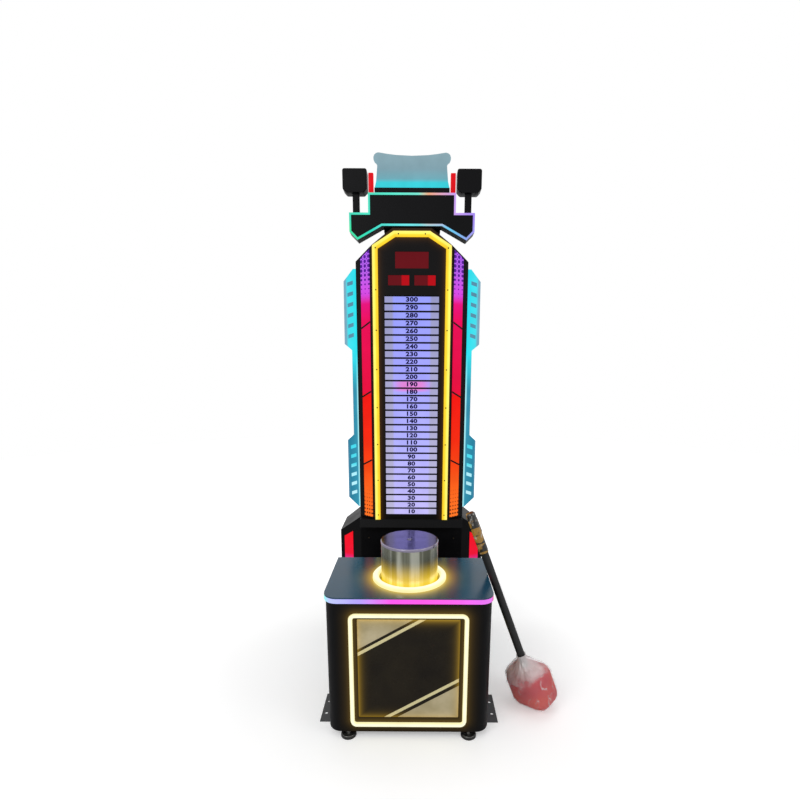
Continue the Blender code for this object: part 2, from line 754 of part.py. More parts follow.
# ---------------------------------------------------------------- strike pad
def build_pad():
    """Steel drum, rubber disc, bolt and shaft, which move down together."""
    empty = joint_empty("pad_axis", (0, PAD_Y, PLATE_TOP))
    at = (0, PAD_Y, 0)
    drum = [(DRUM_RADIUS, DRUM_TOP), (DRUM_RADIUS, DRUM_LOW), (DRUM_RADIUS - DRUM_WALL, DRUM_LOW),
            (DRUM_RADIUS - DRUM_WALL, DRUM_TOP - DRUM_LID), (0, DRUM_TOP - DRUM_LID), (0, DRUM_TOP)]
    drum = [(0, DRUM_TOP)] + drum[:-1]
    turned("pad_drum", drum, at, STEEL, empty, steps=40)
    outer = DRUM_RADIUS + DISC_OVERHANG
    edge = DISC_THICK / 4
    low = DRUM_TOP + GAP
    disc = [(outer - edge, PAD_TOP), (outer, PAD_TOP - edge), (outer, low),
            (DISC_HOLE, low), (DISC_HOLE, PAD_TOP)]
    turned("pad_top_disc", disc, at, DISC, empty, steps=40, ring=True)
    turned("pad_bolt", rod_profile(PAD_BOLT_RADIUS, low, low + PAD_BOLT_HEAD), at, ZINC, empty, steps=12)
    flange_low = SHAFT_TOP - SHAFT_FLANGE_THICK
    shaft = [(0, SHAFT_TOP), (SHAFT_FLANGE_RADIUS, SHAFT_TOP), (SHAFT_FLANGE_RADIUS, flange_low),
             (SHAFT_RADIUS, flange_low), (SHAFT_RADIUS, SHAFT_LOW + COLLAR_HEIGHT),
             (COLLAR_RADIUS, SHAFT_LOW + COLLAR_HEIGHT), (COLLAR_RADIUS, SHAFT_LOW), (0, SHAFT_LOW)]
    turned("pad_shaft", shaft, at, STEEL, empty, steps=20)


def build_pad_support():
    """Guide on its posts, return spring, rubber buffer and force sensor."""
    at = (0, PAD_Y, 0)
    bore = SHAFT_RADIUS + GUIDE_CLEARANCE
    flange_top = GUIDE_LOW + GUIDE_FLANGE_THICK
    guide = [(bore + GUIDE_WALL, GUIDE_LOW + GUIDE_HEIGHT), (bore + GUIDE_WALL, flange_top),
             (GUIDE_FLANGE_RADIUS, flange_top), (GUIDE_FLANGE_RADIUS, GUIDE_LOW),
             (bore, GUIDE_LOW), (bore, GUIDE_LOW + GUIDE_HEIGHT)]
    piece = turned("pad_guide", guide, at, STEEL, steps=20, ring=True)
    posts = []
    for i in range(POST_COUNT):
        angle = math.radians(45) + 2 * math.pi * i / POST_COUNT
        x = POST_CIRCLE * math.cos(angle)
        y = PAD_Y + POST_CIRCLE * math.sin(angle)
        posts.append(rod_mesh((x, y, TABLE_TOP + GAP), (x, y, GUIDE_LOW + GUIDE_FLANGE_THICK / 2),
                              POST_RADIUS, 10))
    join(piece, joined(posts))

    steps = SPRING_TURNS * SPRING_STEPS
    low = SPRING_LOW + SPRING_WIRE
    rise = SPRING_TOP - SPRING_WIRE - low
    coil = []
    for i in range(steps + 1):
        turn = 2 * math.pi * i / SPRING_STEPS
        coil.append((SPRING_RADIUS * math.cos(turn), PAD_Y + SPRING_RADIUS * math.sin(turn),
                     low + rise * i / steps))
    tube("pad_spring", coil, SPRING_WIRE, SPRING_STEEL, sides=1)
    turned("pad_buffer", rod_profile(BUFFER_RADIUS, BUFFER_LOW, BUFFER_LOW + BUFFER_HEIGHT), at,
           RUBBER, steps=20)
    turned("force_sensor", rod_profile(SENSOR_RADIUS, SENSOR_LOW, SENSOR_LOW + SENSOR_HEIGHT), at,
           ZINC, steps=20)


def build_ring_light():
    low = PLATE_TOP + GAP
    high = low + RING_HEIGHT
    edge = RING_HEIGHT / 3
    profile = [(RING_INNER + edge, high), (RING_OUTER - edge, high), (RING_OUTER, high - edge),
               (RING_OUTER, low), (RING_INNER, low), (RING_INNER, high - edge)]
    turned("ring_light", profile, (0, PAD_Y, 0), WARM, steps=48, ring=True)


# ---------------------------------------------------------------- tower foot
def faceted_shell(name, plan, elevation, wall, open_bottom, open_top):
    """Sheet shell: a plan and a front elevation, both extruded, and what they share."""
    ys = [y for _, y in plan]
    zs = [z for _, z in elevation]
    reach = 2.5 * REACH
    shell = slab(name, [plan], min(zs) - reach, max(zs) + reach, "up", BLACK)
    boolean(shell, slab_between([elevation], min(ys) - reach, max(ys) + reach, "front"), "INTERSECT")
    inner = [(x, z) for x, z in inset(elevation, wall)]
    if open_bottom:
        inner = [(x, z - reach if z < min(zs) + 2 * wall else z) for x, z in inner]
    if open_top:
        inner = [(x, z + reach if z > max(zs) - 2 * wall else z) for x, z in inner]
    core = helper(f"{name}_core", slab_between([inset(plan, wall)], min(zs) - 2 * reach,
                                               max(zs) + 2 * reach, "up"))
    boolean(core, slab_between([inner], min(ys) - reach, max(ys) + reach, "front"), "INTERSECT")
    cavity = shell.modifiers.new("cavity", "BOOLEAN")
    cavity.operation = "DIFFERENCE"
    cavity.object = core
    return shell


def foot_plan():
    return faceted_plan(FOOT_FRONT, FOOT_FRONT_HALF, FOOT_SHOULDER_Y, FOOT_HALF, FOOT_BACK)


def build_foot_casing():
    elevation = both_sides([(FOOT_HALF, FOOT_LOW), (FOOT_HALF, FOOT_SIDE_TOP),
                            (TOWER_HALF, TOWER_LOW - GAP)])
    shell = faceted_shell("foot_casing", foot_plan(), elevation, SHEET, False, False)
    cable_way = block_mesh((-BRIDGE_HALF / 2, TOWER_SHOULDER_Y + CABLE_WAY_RIM, TOWER_LOW - REACH),
                           (BRIDGE_HALF / 2, TOWER_BACK - CABLE_WAY_RIM, TOWER_LOW + REACH))
    door_way = block_mesh((-DOOR_HALF + DOOR_LAP, FOOT_FRONT - SHEET, DOOR_LOW + DOOR_LAP),
                          (DOOR_HALF - DOOR_LAP, FOOT_FRONT + 2 * SHEET, DOOR_HIGH - DOOR_LAP))
    way_half = min(BRIDGE_HALF, FOOT_FRONT_HALF) - BRIDGE_LIP
    bridge_way = block_mesh((-way_half, FOOT_FRONT - SHEET, BRIDGE_LOW + BRIDGE_LIP),
                            (way_half, FOOT_FRONT + 2 * SHEET, BRIDGE_HIGH - BRIDGE_LIP))
    half_x = INLET_HALF[0] - INLET_LIP
    half_z = INLET_HALF[1] - INLET_LIP
    inlet = block_mesh((INLET_X - half_x, FOOT_BACK - 2 * SHEET, INLET_Z - half_z),
                       (INLET_X + half_x, FOOT_BACK + SHEET, INLET_Z + half_z))
    studs = [rod_mesh((side * TOWER_FOOT[0], TOWER_FOOT[1], FOOT_LOW - SHEET),
                      (side * TOWER_FOOT[0], TOWER_FOOT[1], FOOT_LOW + 2 * SHEET),
                      STUD_RADIUS + STUD_CLEARANCE, 12) for side in (-1, 1)]
    cut(shell, cable_way, door_way, bridge_way, inlet, *studs)
    embed = SHEET / 2
    visor = [(TOWER_FRONT, TOWER_LOW - GAP), (VISOR_FRONT, TOWER_LOW - VISOR_DROP),
             (FOOT_FRONT + embed, TOWER_LOW - VISOR_DROP), (FOOT_FRONT + embed, TOWER_LOW - GAP)]
    join(shell, slab_between([visor], -VISOR_HALF, VISOR_HALF, "side"))


def panel_on_facet(name, start, end, outline, thickness, mat):
    """A flat panel just outside an upright facet; its outline is (along, height)."""
    start, end = Vector((*start, 0)), Vector((*end, 0))
    along = (end - start).normalized()
    outward = along.cross(Vector((0, 0, 1)))
    mesh = slab_mesh([outline], thickness)
    frame = Matrix((along, Vector((0, 0, 1)), outward)).transposed().to_4x4()
    mesh.transform(Matrix.Translation(start + outward * (GAP + thickness / 2)) @ frame)
    return add(name, mesh, mat)


def facet_pair(name, front_half, front, half, shoulder, outline, thickness, mat):
    """The same facet panel on the machine's left and right."""
    length = math.hypot(half - front_half, shoulder - front)
    mirrored = [(length - u, z) for u, z in reversed(outline)]
    panel_on_facet(f"{name}_right", (front_half, front), (half, shoulder), outline, thickness, mat)
    panel_on_facet(f"{name}_left", (-half, shoulder), (-front_half, front), mirrored, thickness, mat)


def build_foot_lights():
    inner, outer = FOOT_LIGHT_U
    outline = [(inner, FOOT_LIGHT_LOW[0]), (outer, FOOT_LIGHT_LOW[1]),
               (outer, FOOT_LIGHT_HIGH[1]), (inner, FOOT_LIGHT_HIGH[0])]
    facet_pair("foot_light", FOOT_FRONT_HALF, FOOT_FRONT, FOOT_HALF, FOOT_SHOULDER_Y, outline,
               FOOT_LIGHT_THICK, FACET)


def build_bridge():
    """Rectangular duct that joins the base to the tower foot and carries the wiring."""
    outer = rectangle(-BRIDGE_HALF, BRIDGE_HALF, BRIDGE_LOW, BRIDGE_HIGH)
    duct = slab("bridge_duct", [outer, inset(outer, SHEET)], CASING_BACK + GAP, FOOT_FRONT - GAP,
                "front", BLACK)
    front, rear = CASING_BACK + BRIDGE_BOLT_FRONT, FOOT_FRONT - BRIDGE_BOLT_REAR
    places = [(y, z) for z in BRIDGE_BOLT_Z for y in (front, (front + rear) / 2, rear)]
    heads = [((side * BRIDGE_HALF, y, z), (side, 0, 0)) for side in (-1, 1) for y, z in places]
    join(duct, joined(bolt_heads(heads)))


# ---------------------------------------------------------------- doors
def hinge(name, axis_point, along, out, up, length):
    """A long hinge: the fixed leaf with its end knuckles and pin, and the door's half.

    The fixed half becomes a piece of its own; the door's half is returned as a mesh,
    its leaf let into the door so that the two join. In section, x points out from the
    wall and y towards the door.
    """
    frame = Matrix((out, up, along)).transposed().to_4x4()
    place = Matrix.Translation(axis_point) @ frame
    end = KNUCKLE_LENGTH
    radius = KNUCKLE_RADIUS
    wall = -(radius + GAP + SHEET)
    face = LEAF_THICK - radius

    def piece(outline, holes, low, high):
        mesh = slab_mesh([outline] + holes, high - low)
        mesh.transform(place @ Matrix.Translation((0, 0, (low + high) / 2)))
        return mesh

    def knuckle(side, wall_x):
        round_part = arc((0, 0), radius, 90, -90, 8)
        leaf = [(-radius * 0.5, -radius * 0.9), (wall_x, -radius * 0.9), (wall_x, LEAF_LENGTH),
                (face, LEAF_LENGTH), (face, radius)]
        outline = round_part + leaf
        return outline if side > 0 else [(x, -y) for x, y in reversed(outline)]

    low = -length / 2
    fixed = add(name, piece(knuckle(-1, wall), [], low, low + end), ZINC)
    strip = [(wall, -LEAF_LENGTH), (face, -LEAF_LENGTH), (face, -radius - LEAF_GAP),
             (wall, -radius - LEAF_GAP)]
    join(fixed, piece(knuckle(-1, wall), [], -low - end, -low),
         piece(strip, [], low + end / 2, -low - end / 2),
         rod_mesh(place @ Vector((0, 0, low + end / 2)), place @ Vector((0, 0, -low - end / 2)),
                  PIN_RADIUS, 10))
    bore = circle((0, 0), PIN_RADIUS + PIN_CLEARANCE, 10)
    let_in = -(radius + 2.5 * GAP)
    return piece(knuckle(1, let_in), [bore], low + end + GAP, -low - end - GAP)


def build_foot_door():
    """Service flap in the tower foot: hinged along its bottom edge, locked at the top."""
    axis = (0, DOOR_OUTER - GAP - KNUCKLE_RADIUS, DOOR_LOW - HINGE_SETBACK)
    flap = joint_empty("foot_door_axis", axis)
    lock_at = Vector((0, DOOR_OUTER, DOOR_HIGH - DOOR_LAP - CAM_WIDTH))
    hole = circle((lock_at.x, lock_at.z), LOCK_RADIUS + LOCK_CLEARANCE, 12)
    outline = rectangle(-DOOR_HALF, DOOR_HALF, DOOR_LOW, DOOR_HIGH)
    door = slab("foot_door", [outline, hole], DOOR_OUTER, DOOR_OUTER + SHEET, "front", BLACK, flap)
    join(door, hinge("foot_hinge", axis, (1, 0, 0), (0, -1, 0), (0, 0, 1), FOOT_HINGE_LENGTH))
    build_lock("foot_lock", lock_at, -1, flap)


def build_rear_door():
    """Vented service door in the tower's back, hinged on one side, locked on the other."""
    middle = (REAR_DOOR_LOW + REAR_DOOR_HIGH) / 2
    axis = (-REAR_DOOR_HALF - HINGE_SETBACK, REAR_DOOR_OUTER + GAP + KNUCKLE_RADIUS, middle)
    empty = joint_empty("rear_door_axis", axis)
    lock_at = Vector((REAR_DOOR_HALF - DOOR_LAP - CAM_WIDTH, REAR_DOOR_OUTER, middle))
    loops = [rectangle(-REAR_DOOR_HALF, REAR_DOOR_HALF, REAR_DOOR_LOW, REAR_DOOR_HIGH),
             circle((lock_at.x, lock_at.z), LOCK_RADIUS + LOCK_CLEARANCE, 12)]
    bank = VENT_PITCH * (VENT_COUNT - 1)
    for start in (REAR_DOOR_LOW + VENT_MARGIN, REAR_DOOR_HIGH - VENT_MARGIN - bank):
        for i in range(VENT_COUNT):
            z = start + VENT_PITCH * i
            loops.append(rectangle(-VENT_HALF, VENT_HALF, z - VENT_TALL / 2, z + VENT_TALL / 2))
    door = slab("rear_door", loops, TOWER_BACK + GAP, REAR_DOOR_OUTER, "front", BLACK, empty)
    join(door, hinge("rear_hinge", axis, (0, 0, -1), (0, 1, 0), (1, 0, 0), REAR_HINGE_LENGTH))
    build_lock("rear_lock", lock_at, 1, empty)


def build_lock(name, at, out, parent):
    """Quarter-turn lock: head, lever and cam on one stem; out is -1 for the front."""
    empty = joint_empty(f"{name}_axis", at, parent)
    head_low = GAP
    head_high = GAP + LOCK_HEAD_THICK
    behind = 2 * SHEET + 2 * GAP
    stem = [(0, head_high), (LOCK_HEAD_RADIUS, head_high), (LOCK_HEAD_RADIUS, head_low),
            (LOCK_RADIUS, head_low), (LOCK_RADIUS, -behind - CAM_THICK), (0, -behind - CAM_THICK)]
    axis = "Y" if out < 0 else "-Y"
    piece = turned(name, stem, at, ZINC, empty, steps=16, axis=axis)
    face = at.y + out * head_high
    back = at.y - out * behind
    y0, y1 = sorted((face - out * OVERLAP, face + out * LEVER_HIGH))
    lever = block_mesh((at.x - LEVER_LENGTH, y0, at.z - CAM_WIDTH / 4),
                       (at.x + CAM_WIDTH / 2, y1, at.z + CAM_WIDTH / 4))
    y0, y1 = sorted((back, back - out * CAM_THICK))
    if out < 0:
        cam = block_mesh((at.x - CAM_LENGTH, y0, at.z - CAM_WIDTH / 2),
                         (at.x + CAM_WIDTH / 2, y1, at.z + CAM_WIDTH / 2))
    else:
        cam = block_mesh((at.x - CAM_WIDTH / 2, y0, at.z - CAM_LENGTH),
                         (at.x + CAM_WIDTH / 2, y1, at.z + CAM_WIDTH / 2))
    join(piece, lever, cam)


def build_inlet():
    """Mains inlet with its socket and, above it, the rocker switch on its pivot."""
    half_x, half_z = INLET_HALF
    face = FOOT_BACK + GAP + INLET_FLANGE
    lip = INLET_LIP + GAP
    flange = slab("mains_inlet", [rounded_rectangle(INLET_X - half_x, INLET_X + half_x, INLET_Z - half_z,
                                                    INLET_Z + half_z, INLET_LIP, 3)],
                  FOOT_BACK + GAP, face, "front", RUBBER)
    body = block_mesh((INLET_X - half_x + lip, face - INLET_DEPTH, INLET_Z - half_z + lip),
                      (INLET_X + half_x - lip, face - INLET_FLANGE / 2, INLET_Z + half_z - lip))
    join(flange, body)
    socket_z = INLET_Z - SOCKET_DROP
    socket = block_mesh((INLET_X - SOCKET_HALF[0], face - SOCKET_DEPTH, socket_z - SOCKET_HALF[1]),
                        (INLET_X + SOCKET_HALF[0], face + REACH, socket_z + SOCKET_HALF[1]))
    rocker_z = INLET_Z + ROCKER_RISE
    room = ROCKER_RADIUS + ROCKER_CLEARANCE
    well = block_mesh((INLET_X - ROCKER_HALF[0] - ROCKER_CLEARANCE, face - 2 * room, rocker_z - room),
                      (INLET_X + ROCKER_HALF[0] + ROCKER_CLEARANCE, face + REACH, rocker_z + room))
    cut(flange, socket, well)

    pivot = (INLET_X, face - ROCKER_RADIUS * 0.5, rocker_z)
    empty = joint_empty("power_switch_axis", pivot)
    tilt = math.radians(ROCKER_TILT)
    peak = ROCKER_RADIUS * 0.75
    outline = (arc((pivot[1], rocker_z), ROCKER_RADIUS, 70 - ROCKER_TILT, 290 - ROCKER_TILT, 8)
               + [(pivot[1] + peak * math.cos(tilt), rocker_z - peak * math.sin(tilt))])
    slab("power_switch", [outline], INLET_X - ROCKER_HALF[0], INLET_X + ROCKER_HALF[0], "side", RED, empty)


# ---------------------------------------------------------------- tower
def tower_elevation():
    return both_sides([(TOWER_HALF, TOWER_LOW), (TOWER_HALF, TOWER_SIDE_TOP),
                       (TOWER_FRONT_HALF, TOWER_CORNER_TOP), (TOWER_TOP_HALF, TOWER_TOP)])


def front_outline(bottom, shrink=0.0):
    """The tower's front panel: straight sides and a chamfered top."""
    outline = both_sides([(TOWER_FRONT_HALF, TOWER_LOW), (TOWER_FRONT_HALF, TOWER_CORNER_TOP),
                          (TOWER_TOP_HALF, TOWER_TOP)])
    outline = inset(outline, shrink) if shrink else outline
    return [(x, bottom if z < TOWER_LOW + 2 * shrink + 0.001 else z) for x, z in outline]


def build_tower_casing():
    """Faceted sheet shell, open below, with a front opening and a rear doorway."""
    slope = (TOWER_HALF - TOWER_FRONT_HALF) / (TOWER_SHOULDER_Y - TOWER_FRONT)
    front_half = TOWER_FRONT_HALF + (WALL_FRONT - TOWER_FRONT) * slope
    plan = faceted_plan(WALL_FRONT, front_half, TOWER_SHOULDER_Y, TOWER_HALF, TOWER_BACK)
    shell = faceted_shell("tower_casing", plan, tower_elevation(), SHEET, True, False)
    front = slab_between([front_outline(TOWER_LOW + BEZEL_LIP / 2, BEZEL_LIP)],
                         WALL_FRONT - SHEET, WALL_FRONT + 2 * SHEET, "front")
    door_way = block_mesh((-REAR_DOOR_HALF + DOOR_LAP, TOWER_BACK - 2 * SHEET, REAR_DOOR_LOW + DOOR_LAP),
                          (REAR_DOOR_HALF - DOOR_LAP, TOWER_BACK + SHEET, REAR_DOOR_HIGH - DOOR_LAP))
    cut(shell, front, door_way)


def build_tower_front():
    """Bezel, border light with its screws, score scale, its light board and displays."""
    windows = [rectangle(-SCALE_HALF - GAP, SCALE_HALF + GAP, SCALE_LOW - GAP, SCALE_HIGH + GAP)]
    for x0, x1, z0, z1 in (MAIN_DISPLAY, *SMALL_DISPLAYS):
        windows.append(rectangle(x0 - GAP, x1 + GAP, z0 - GAP, z1 + GAP))
    slab("front_bezel", [front_outline(TOWER_LOW)] + windows, TOWER_FRONT, BEZEL_BACK, "front", BLACK)

    corner = TOWER_CORNER_TOP
    outer = both_sides([(BORDER_OUTER, TOWER_LOW), (BORDER_OUTER, corner), (BORDER_TOP_HALF, BORDER_TOP)])
    inner = inset(outer, BORDER_WIDTH)
    strip = (outer[:3] + outer[3:] + [(inner[-1][0], TOWER_LOW)] + inner[-2:2:-1]
             + inner[2:0:-1] + [(inner[0][0], TOWER_LOW)])
    slab("border_light", [strip], TOWER_FRONT - GAP - BORDER_THICK, TOWER_FRONT - GAP, "front", YELLOW)

    behind = BEZEL_BACK + GAP
    scale = rectangle(-SCALE_HALF - SCALE_LAP, SCALE_HALF + SCALE_LAP, SCALE_LOW - SCALE_LAP / 2,
                      SCALE_HIGH + SCALE_LAP)
    slab("score_scale", [scale], behind, behind + SCALE_THICK, "front", LILAC)
    backing = (-DISPLAY_BOARD_HALF, DISPLAY_BOARD_HALF, SMALL_DISPLAYS[0][2] - SCALE_LAP,
               MAIN_DISPLAY[3] + SCALE_LAP)
    module = slab("display_module", [rectangle(*backing)], behind, behind + DISPLAY_BOARD, "front",
                  WINDOW_RED)
    for x0, x1, z0, z1 in (MAIN_DISPLAY, *SMALL_DISPLAYS):
        join(module, block_mesh((x0, TOWER_FRONT + DISPLAY_RECESS, z0),
                                (x1, TOWER_FRONT + DISPLAY_RECESS + DISPLAY_DEPTH, z1)))


def build_facet_lights():
    length = math.hypot(TOWER_HALF - TOWER_FRONT_HALF, TOWER_SHOULDER_Y - TOWER_FRONT)
    drop = TOWER_CORNER_TOP - TOWER_SIDE_TOP
    low = TOWER_LOW + FACET_MARGIN

    def top(u):
        return TOWER_CORNER_TOP - drop * u / length - FACET_MARGIN

    u0, u1 = FACET_LIGHT_U
    outline = [(u0, low), (u1, low), (u1, top(u1)), (u0, top(u0))]
    facet_pair("facet_light", TOWER_FRONT_HALF, TOWER_FRONT, TOWER_HALF, TOWER_SHOULDER_Y, outline,
               FACET_THICK, FACET)


def build_wings():
    """Edge-lit acrylic fins on the tower's sides, each with two rows of slanted slots."""
    inner = TOWER_HALF + GAP
    edge = [(TOWER_HALF + out, z) for out, z in WING_OUTLINE]
    half = [(inner, edge[0][1])] + edge + [(inner, edge[-1][1])]
    slot_x = TOWER_HALF + WING_SLOT_OUT
    slots = []
    for start in WING_SLOT_STARTS:
        for i in range(WING_SLOTS):
            z = start + WING_SLOT_PITCH * i
            x0 = slot_x - WING_SLOT_WIDE / 2
            x1 = slot_x + WING_SLOT_WIDE / 2
            slots.append([(x0, z + WING_SLOT_SLANT), (x1, z),
                          (x1, z + WING_SLOT_TALL - WING_SLOT_SLANT), (x0, z + WING_SLOT_TALL)])
    for name, side in (("right", 1), ("left", -1)):
        loops = [[(side * x, z) for x, z in loop] for loop in [half] + slots]
        slab(f"side_wing_{name}", loops, WING_Y - WING_THICK / 2, WING_Y + WING_THICK / 2, "front", CYAN)


def build_electronics():
    """Power supply on the left inner wall and the control board on the right one."""
    wall = TOWER_HALF - SHEET - GAP
    y, z = SUPPLY_AT
    supply_wide, supply_deep, supply_tall = SUPPLY_SIZE
    block("power_supply", (-wall, y, z), (-wall + supply_wide, y + supply_deep, z + supply_tall), ZINC)
    y, z = CONTROL_AT
    thick, deep, tall = CONTROL_SIZE
    face = wall - CONTROL_STANDOFF - thick
    board = block("control_board", (face, y, z), (face + thick, y + deep, z + tall), GREEN)
    overlap = OVERLAP / 2
    for chip_y, chip_z, chip_deep, chip_tall, chip_high in CHIPS:
        join(board, block_mesh((face - chip_high, y + chip_y, z + chip_z),
                               (face + overlap, y + chip_y + chip_deep, z + chip_z + chip_tall)))
    corner = POST_CORNER
    for post_y in (y + corner, y + deep - corner):
        for post_z in (z + corner, z + tall - corner):
            join(board, rod_mesh((face + thick - overlap, post_y, post_z), (wall, post_y, post_z),
                                 BOARD_POST_RADIUS, 8))


# ---------------------------------------------------------------- header
def header_outline():
    return both_sides([(x, z) for x, z in HEADER_OUTLINE])


def build_header():
    """Lit header box on a neck, with a marquee panel, side bars and two block ornaments."""
    outline = header_outline()
    front = HEADER_FRONT + HEADER_LIGHT_THICK + GAP
    box = slab("header_box", [outline], front, HEADER_BACK, "front", BLACK)
    cut(box, slab_between([inset(outline, HEADER_WALL)], front + HEADER_WALL, HEADER_BACK + REACH, "front"))
    slab("header_light", [outline, inset(outline, HEADER_LIGHT_WIDTH)], HEADER_FRONT,
         HEADER_FRONT + HEADER_LIGHT_THICK, "front", RGB)
    neck_y = HEADER_BACK + GAP
    neck = rectangle(-NECK_HALF, NECK_HALF, neck_y, neck_y + NECK_DEPTH)
    slab("header_neck", [neck, inset(neck, HEADER_WALL)], TOWER_TOP + GAP, NECK_HIGH, "up", BLACK)

    low = HEADER_TOP + GAP
    groove = MARQUEE_THICK / 2 + GAP
    cheek = groove + HOLDER_CHEEK
    holder = [(MARQUEE_Y - cheek, low), (MARQUEE_Y + cheek, low), (MARQUEE_Y + cheek, low + HOLDER_HEIGHT),
              (MARQUEE_Y + groove, low + HOLDER_HEIGHT), (MARQUEE_Y + groove, low + HOLDER_FLOOR),
              (MARQUEE_Y - groove, low + HOLDER_FLOOR), (MARQUEE_Y - groove, low + HOLDER_HEIGHT),
              (MARQUEE_Y - cheek, low + HOLDER_HEIGHT)]
    slab("marquee_holder", [holder], -HOLDER_HALF, HOLDER_HALF, "side", BLACK)
    foot = low + HOLDER_FLOOR + GAP
    marquee = both_sides([(HOLDER_HALF - HOLDER_CHEEK, foot)] + list(MARQUEE_OUTLINE) + [(0, MARQUEE_DIP)])
    half = MARQUEE_THICK / 2
    slab("marquee", [marquee], MARQUEE_Y - half, MARQUEE_Y + half, "front", MARQUEE)

    ear = EAR_TOP + GAP
    for name, side in (("left", -1), ("right", 1)):
        bar = sorted(side * x for x in BAR_X)
        block(f"red_bar_{name}", (bar[0], BAR_Y[0], low), (bar[1], BAR_Y[1], BAR_HIGH), RED, edge=BAR_EDGE)
        stem = sorted(side * x for x in STEM_X)
        head = sorted(side * x for x in BLOCK_X)
        top = ear + STEM_HEIGHT
        peak = top + BLOCK_HEIGHT
        outline = [(head[0] + BLOCK_CUT, top), (head[1] - BLOCK_CUT, top), (head[1], top + BLOCK_CUT),
                   (head[1], peak - BLOCK_TOP_CUT), (head[1] - BLOCK_TOP_CUT, peak),
                   (head[0] + BLOCK_TOP_CUT, peak), (head[0], peak - BLOCK_TOP_CUT),
                   (head[0], top + BLOCK_CUT)]
        ornament = slab(f"block_ornament_{name}", [outline], *BLOCK_Y, "front", BLACK)
        join(ornament, block_mesh((stem[0], STEM_Y[0], ear), (stem[1], STEM_Y[1], top + STEM_LET_IN)))
        round_edges(ornament, BLOCK_EDGE, 1)


# ---------------------------------------------------------------- brackets, feet, bolts
def build_brackets():
    """Four L brackets that bolt the base and the tower foot to the floor."""
    for where, half, y in (("base", CASING_HALF, BRACKET_Y[0]), ("tower", FOOT_HALF, BRACKET_Y[1])):
        for name, side in (("left", -1), ("right", 1)):
            inner = half + GAP
            profile = [(inner, 0), (inner + BRACKET_FLANGE, 0), (inner + BRACKET_FLANGE, BRACKET_THICK),
                       (inner + BRACKET_THICK, BRACKET_THICK), (inner + BRACKET_THICK, BRACKET_LEAF),
                       (inner, BRACKET_LEAF)]
            profile = [(side * x, z) for x, z in profile]
            bracket = slab(f"floor_bracket_{where}_{name}", [profile], y, y + BRACKET_LENGTH, "front",
                           BLACK)
            holes = []
            heads = []
            for along in BRACKET_HOLES:
                x = side * (inner + BRACKET_HOLE_OUT)
                holes.append(rod_mesh((x, y + along, -REACH), (x, y + along, REACH),
                                      BRACKET_HOLE_RADIUS, 12))
                faces = sorted((side * (half - REACH), side * (half + REACH)))
                radius = BRACKET_HOLE_RADIUS
                slot_low = BRACKET_BOLT_Z - BRACKET_SLOT / 2
                slot = rounded_rectangle(y + along - radius, y + along + radius, slot_low,
                                         slot_low + BRACKET_SLOT, radius * 0.98, 3)
                holes.append(slab_between([slot], *faces, "side"))
                heads.append(((side * (inner + BRACKET_THICK), y + along, BRACKET_BOLT_Z), (side, 0, 0)))
            cut(bracket, joined(holes))
            join(bracket, joined(bolt_heads(heads)))


def build_feet():
    """Levelling feet: a sole on a threaded stud, each free to screw down."""
    for name, (x, y), carrier_top in (("base", BASE_FOOT, PAN_LOW + PAN_THICK),
                                      ("tower", TOWER_FOOT, FOOT_LOW + SHEET)):
        for side_name, side in (("left", -1), ("right", 1)):
            profile = [(0, carrier_top + STUD_ABOVE), (STUD_RADIUS, carrier_top + STUD_ABOVE),
                       (STUD_RADIUS, FOOT_SOLE_HEIGHT), (FOOT_SOLE_RADIUS * 0.9, FOOT_SOLE_HEIGHT),
                       (FOOT_SOLE_RADIUS, FOOT_SOLE_HEIGHT * 0.6), (FOOT_SOLE_RADIUS, 0), (0, 0)]
            empty = joint_empty(f"levelling_foot_{name}_{side_name}_axis", (side * x, y, 0))
            turned(f"levelling_foot_{name}_{side_name}", profile, (side * x, y, 0), ZINC, empty, steps=16)


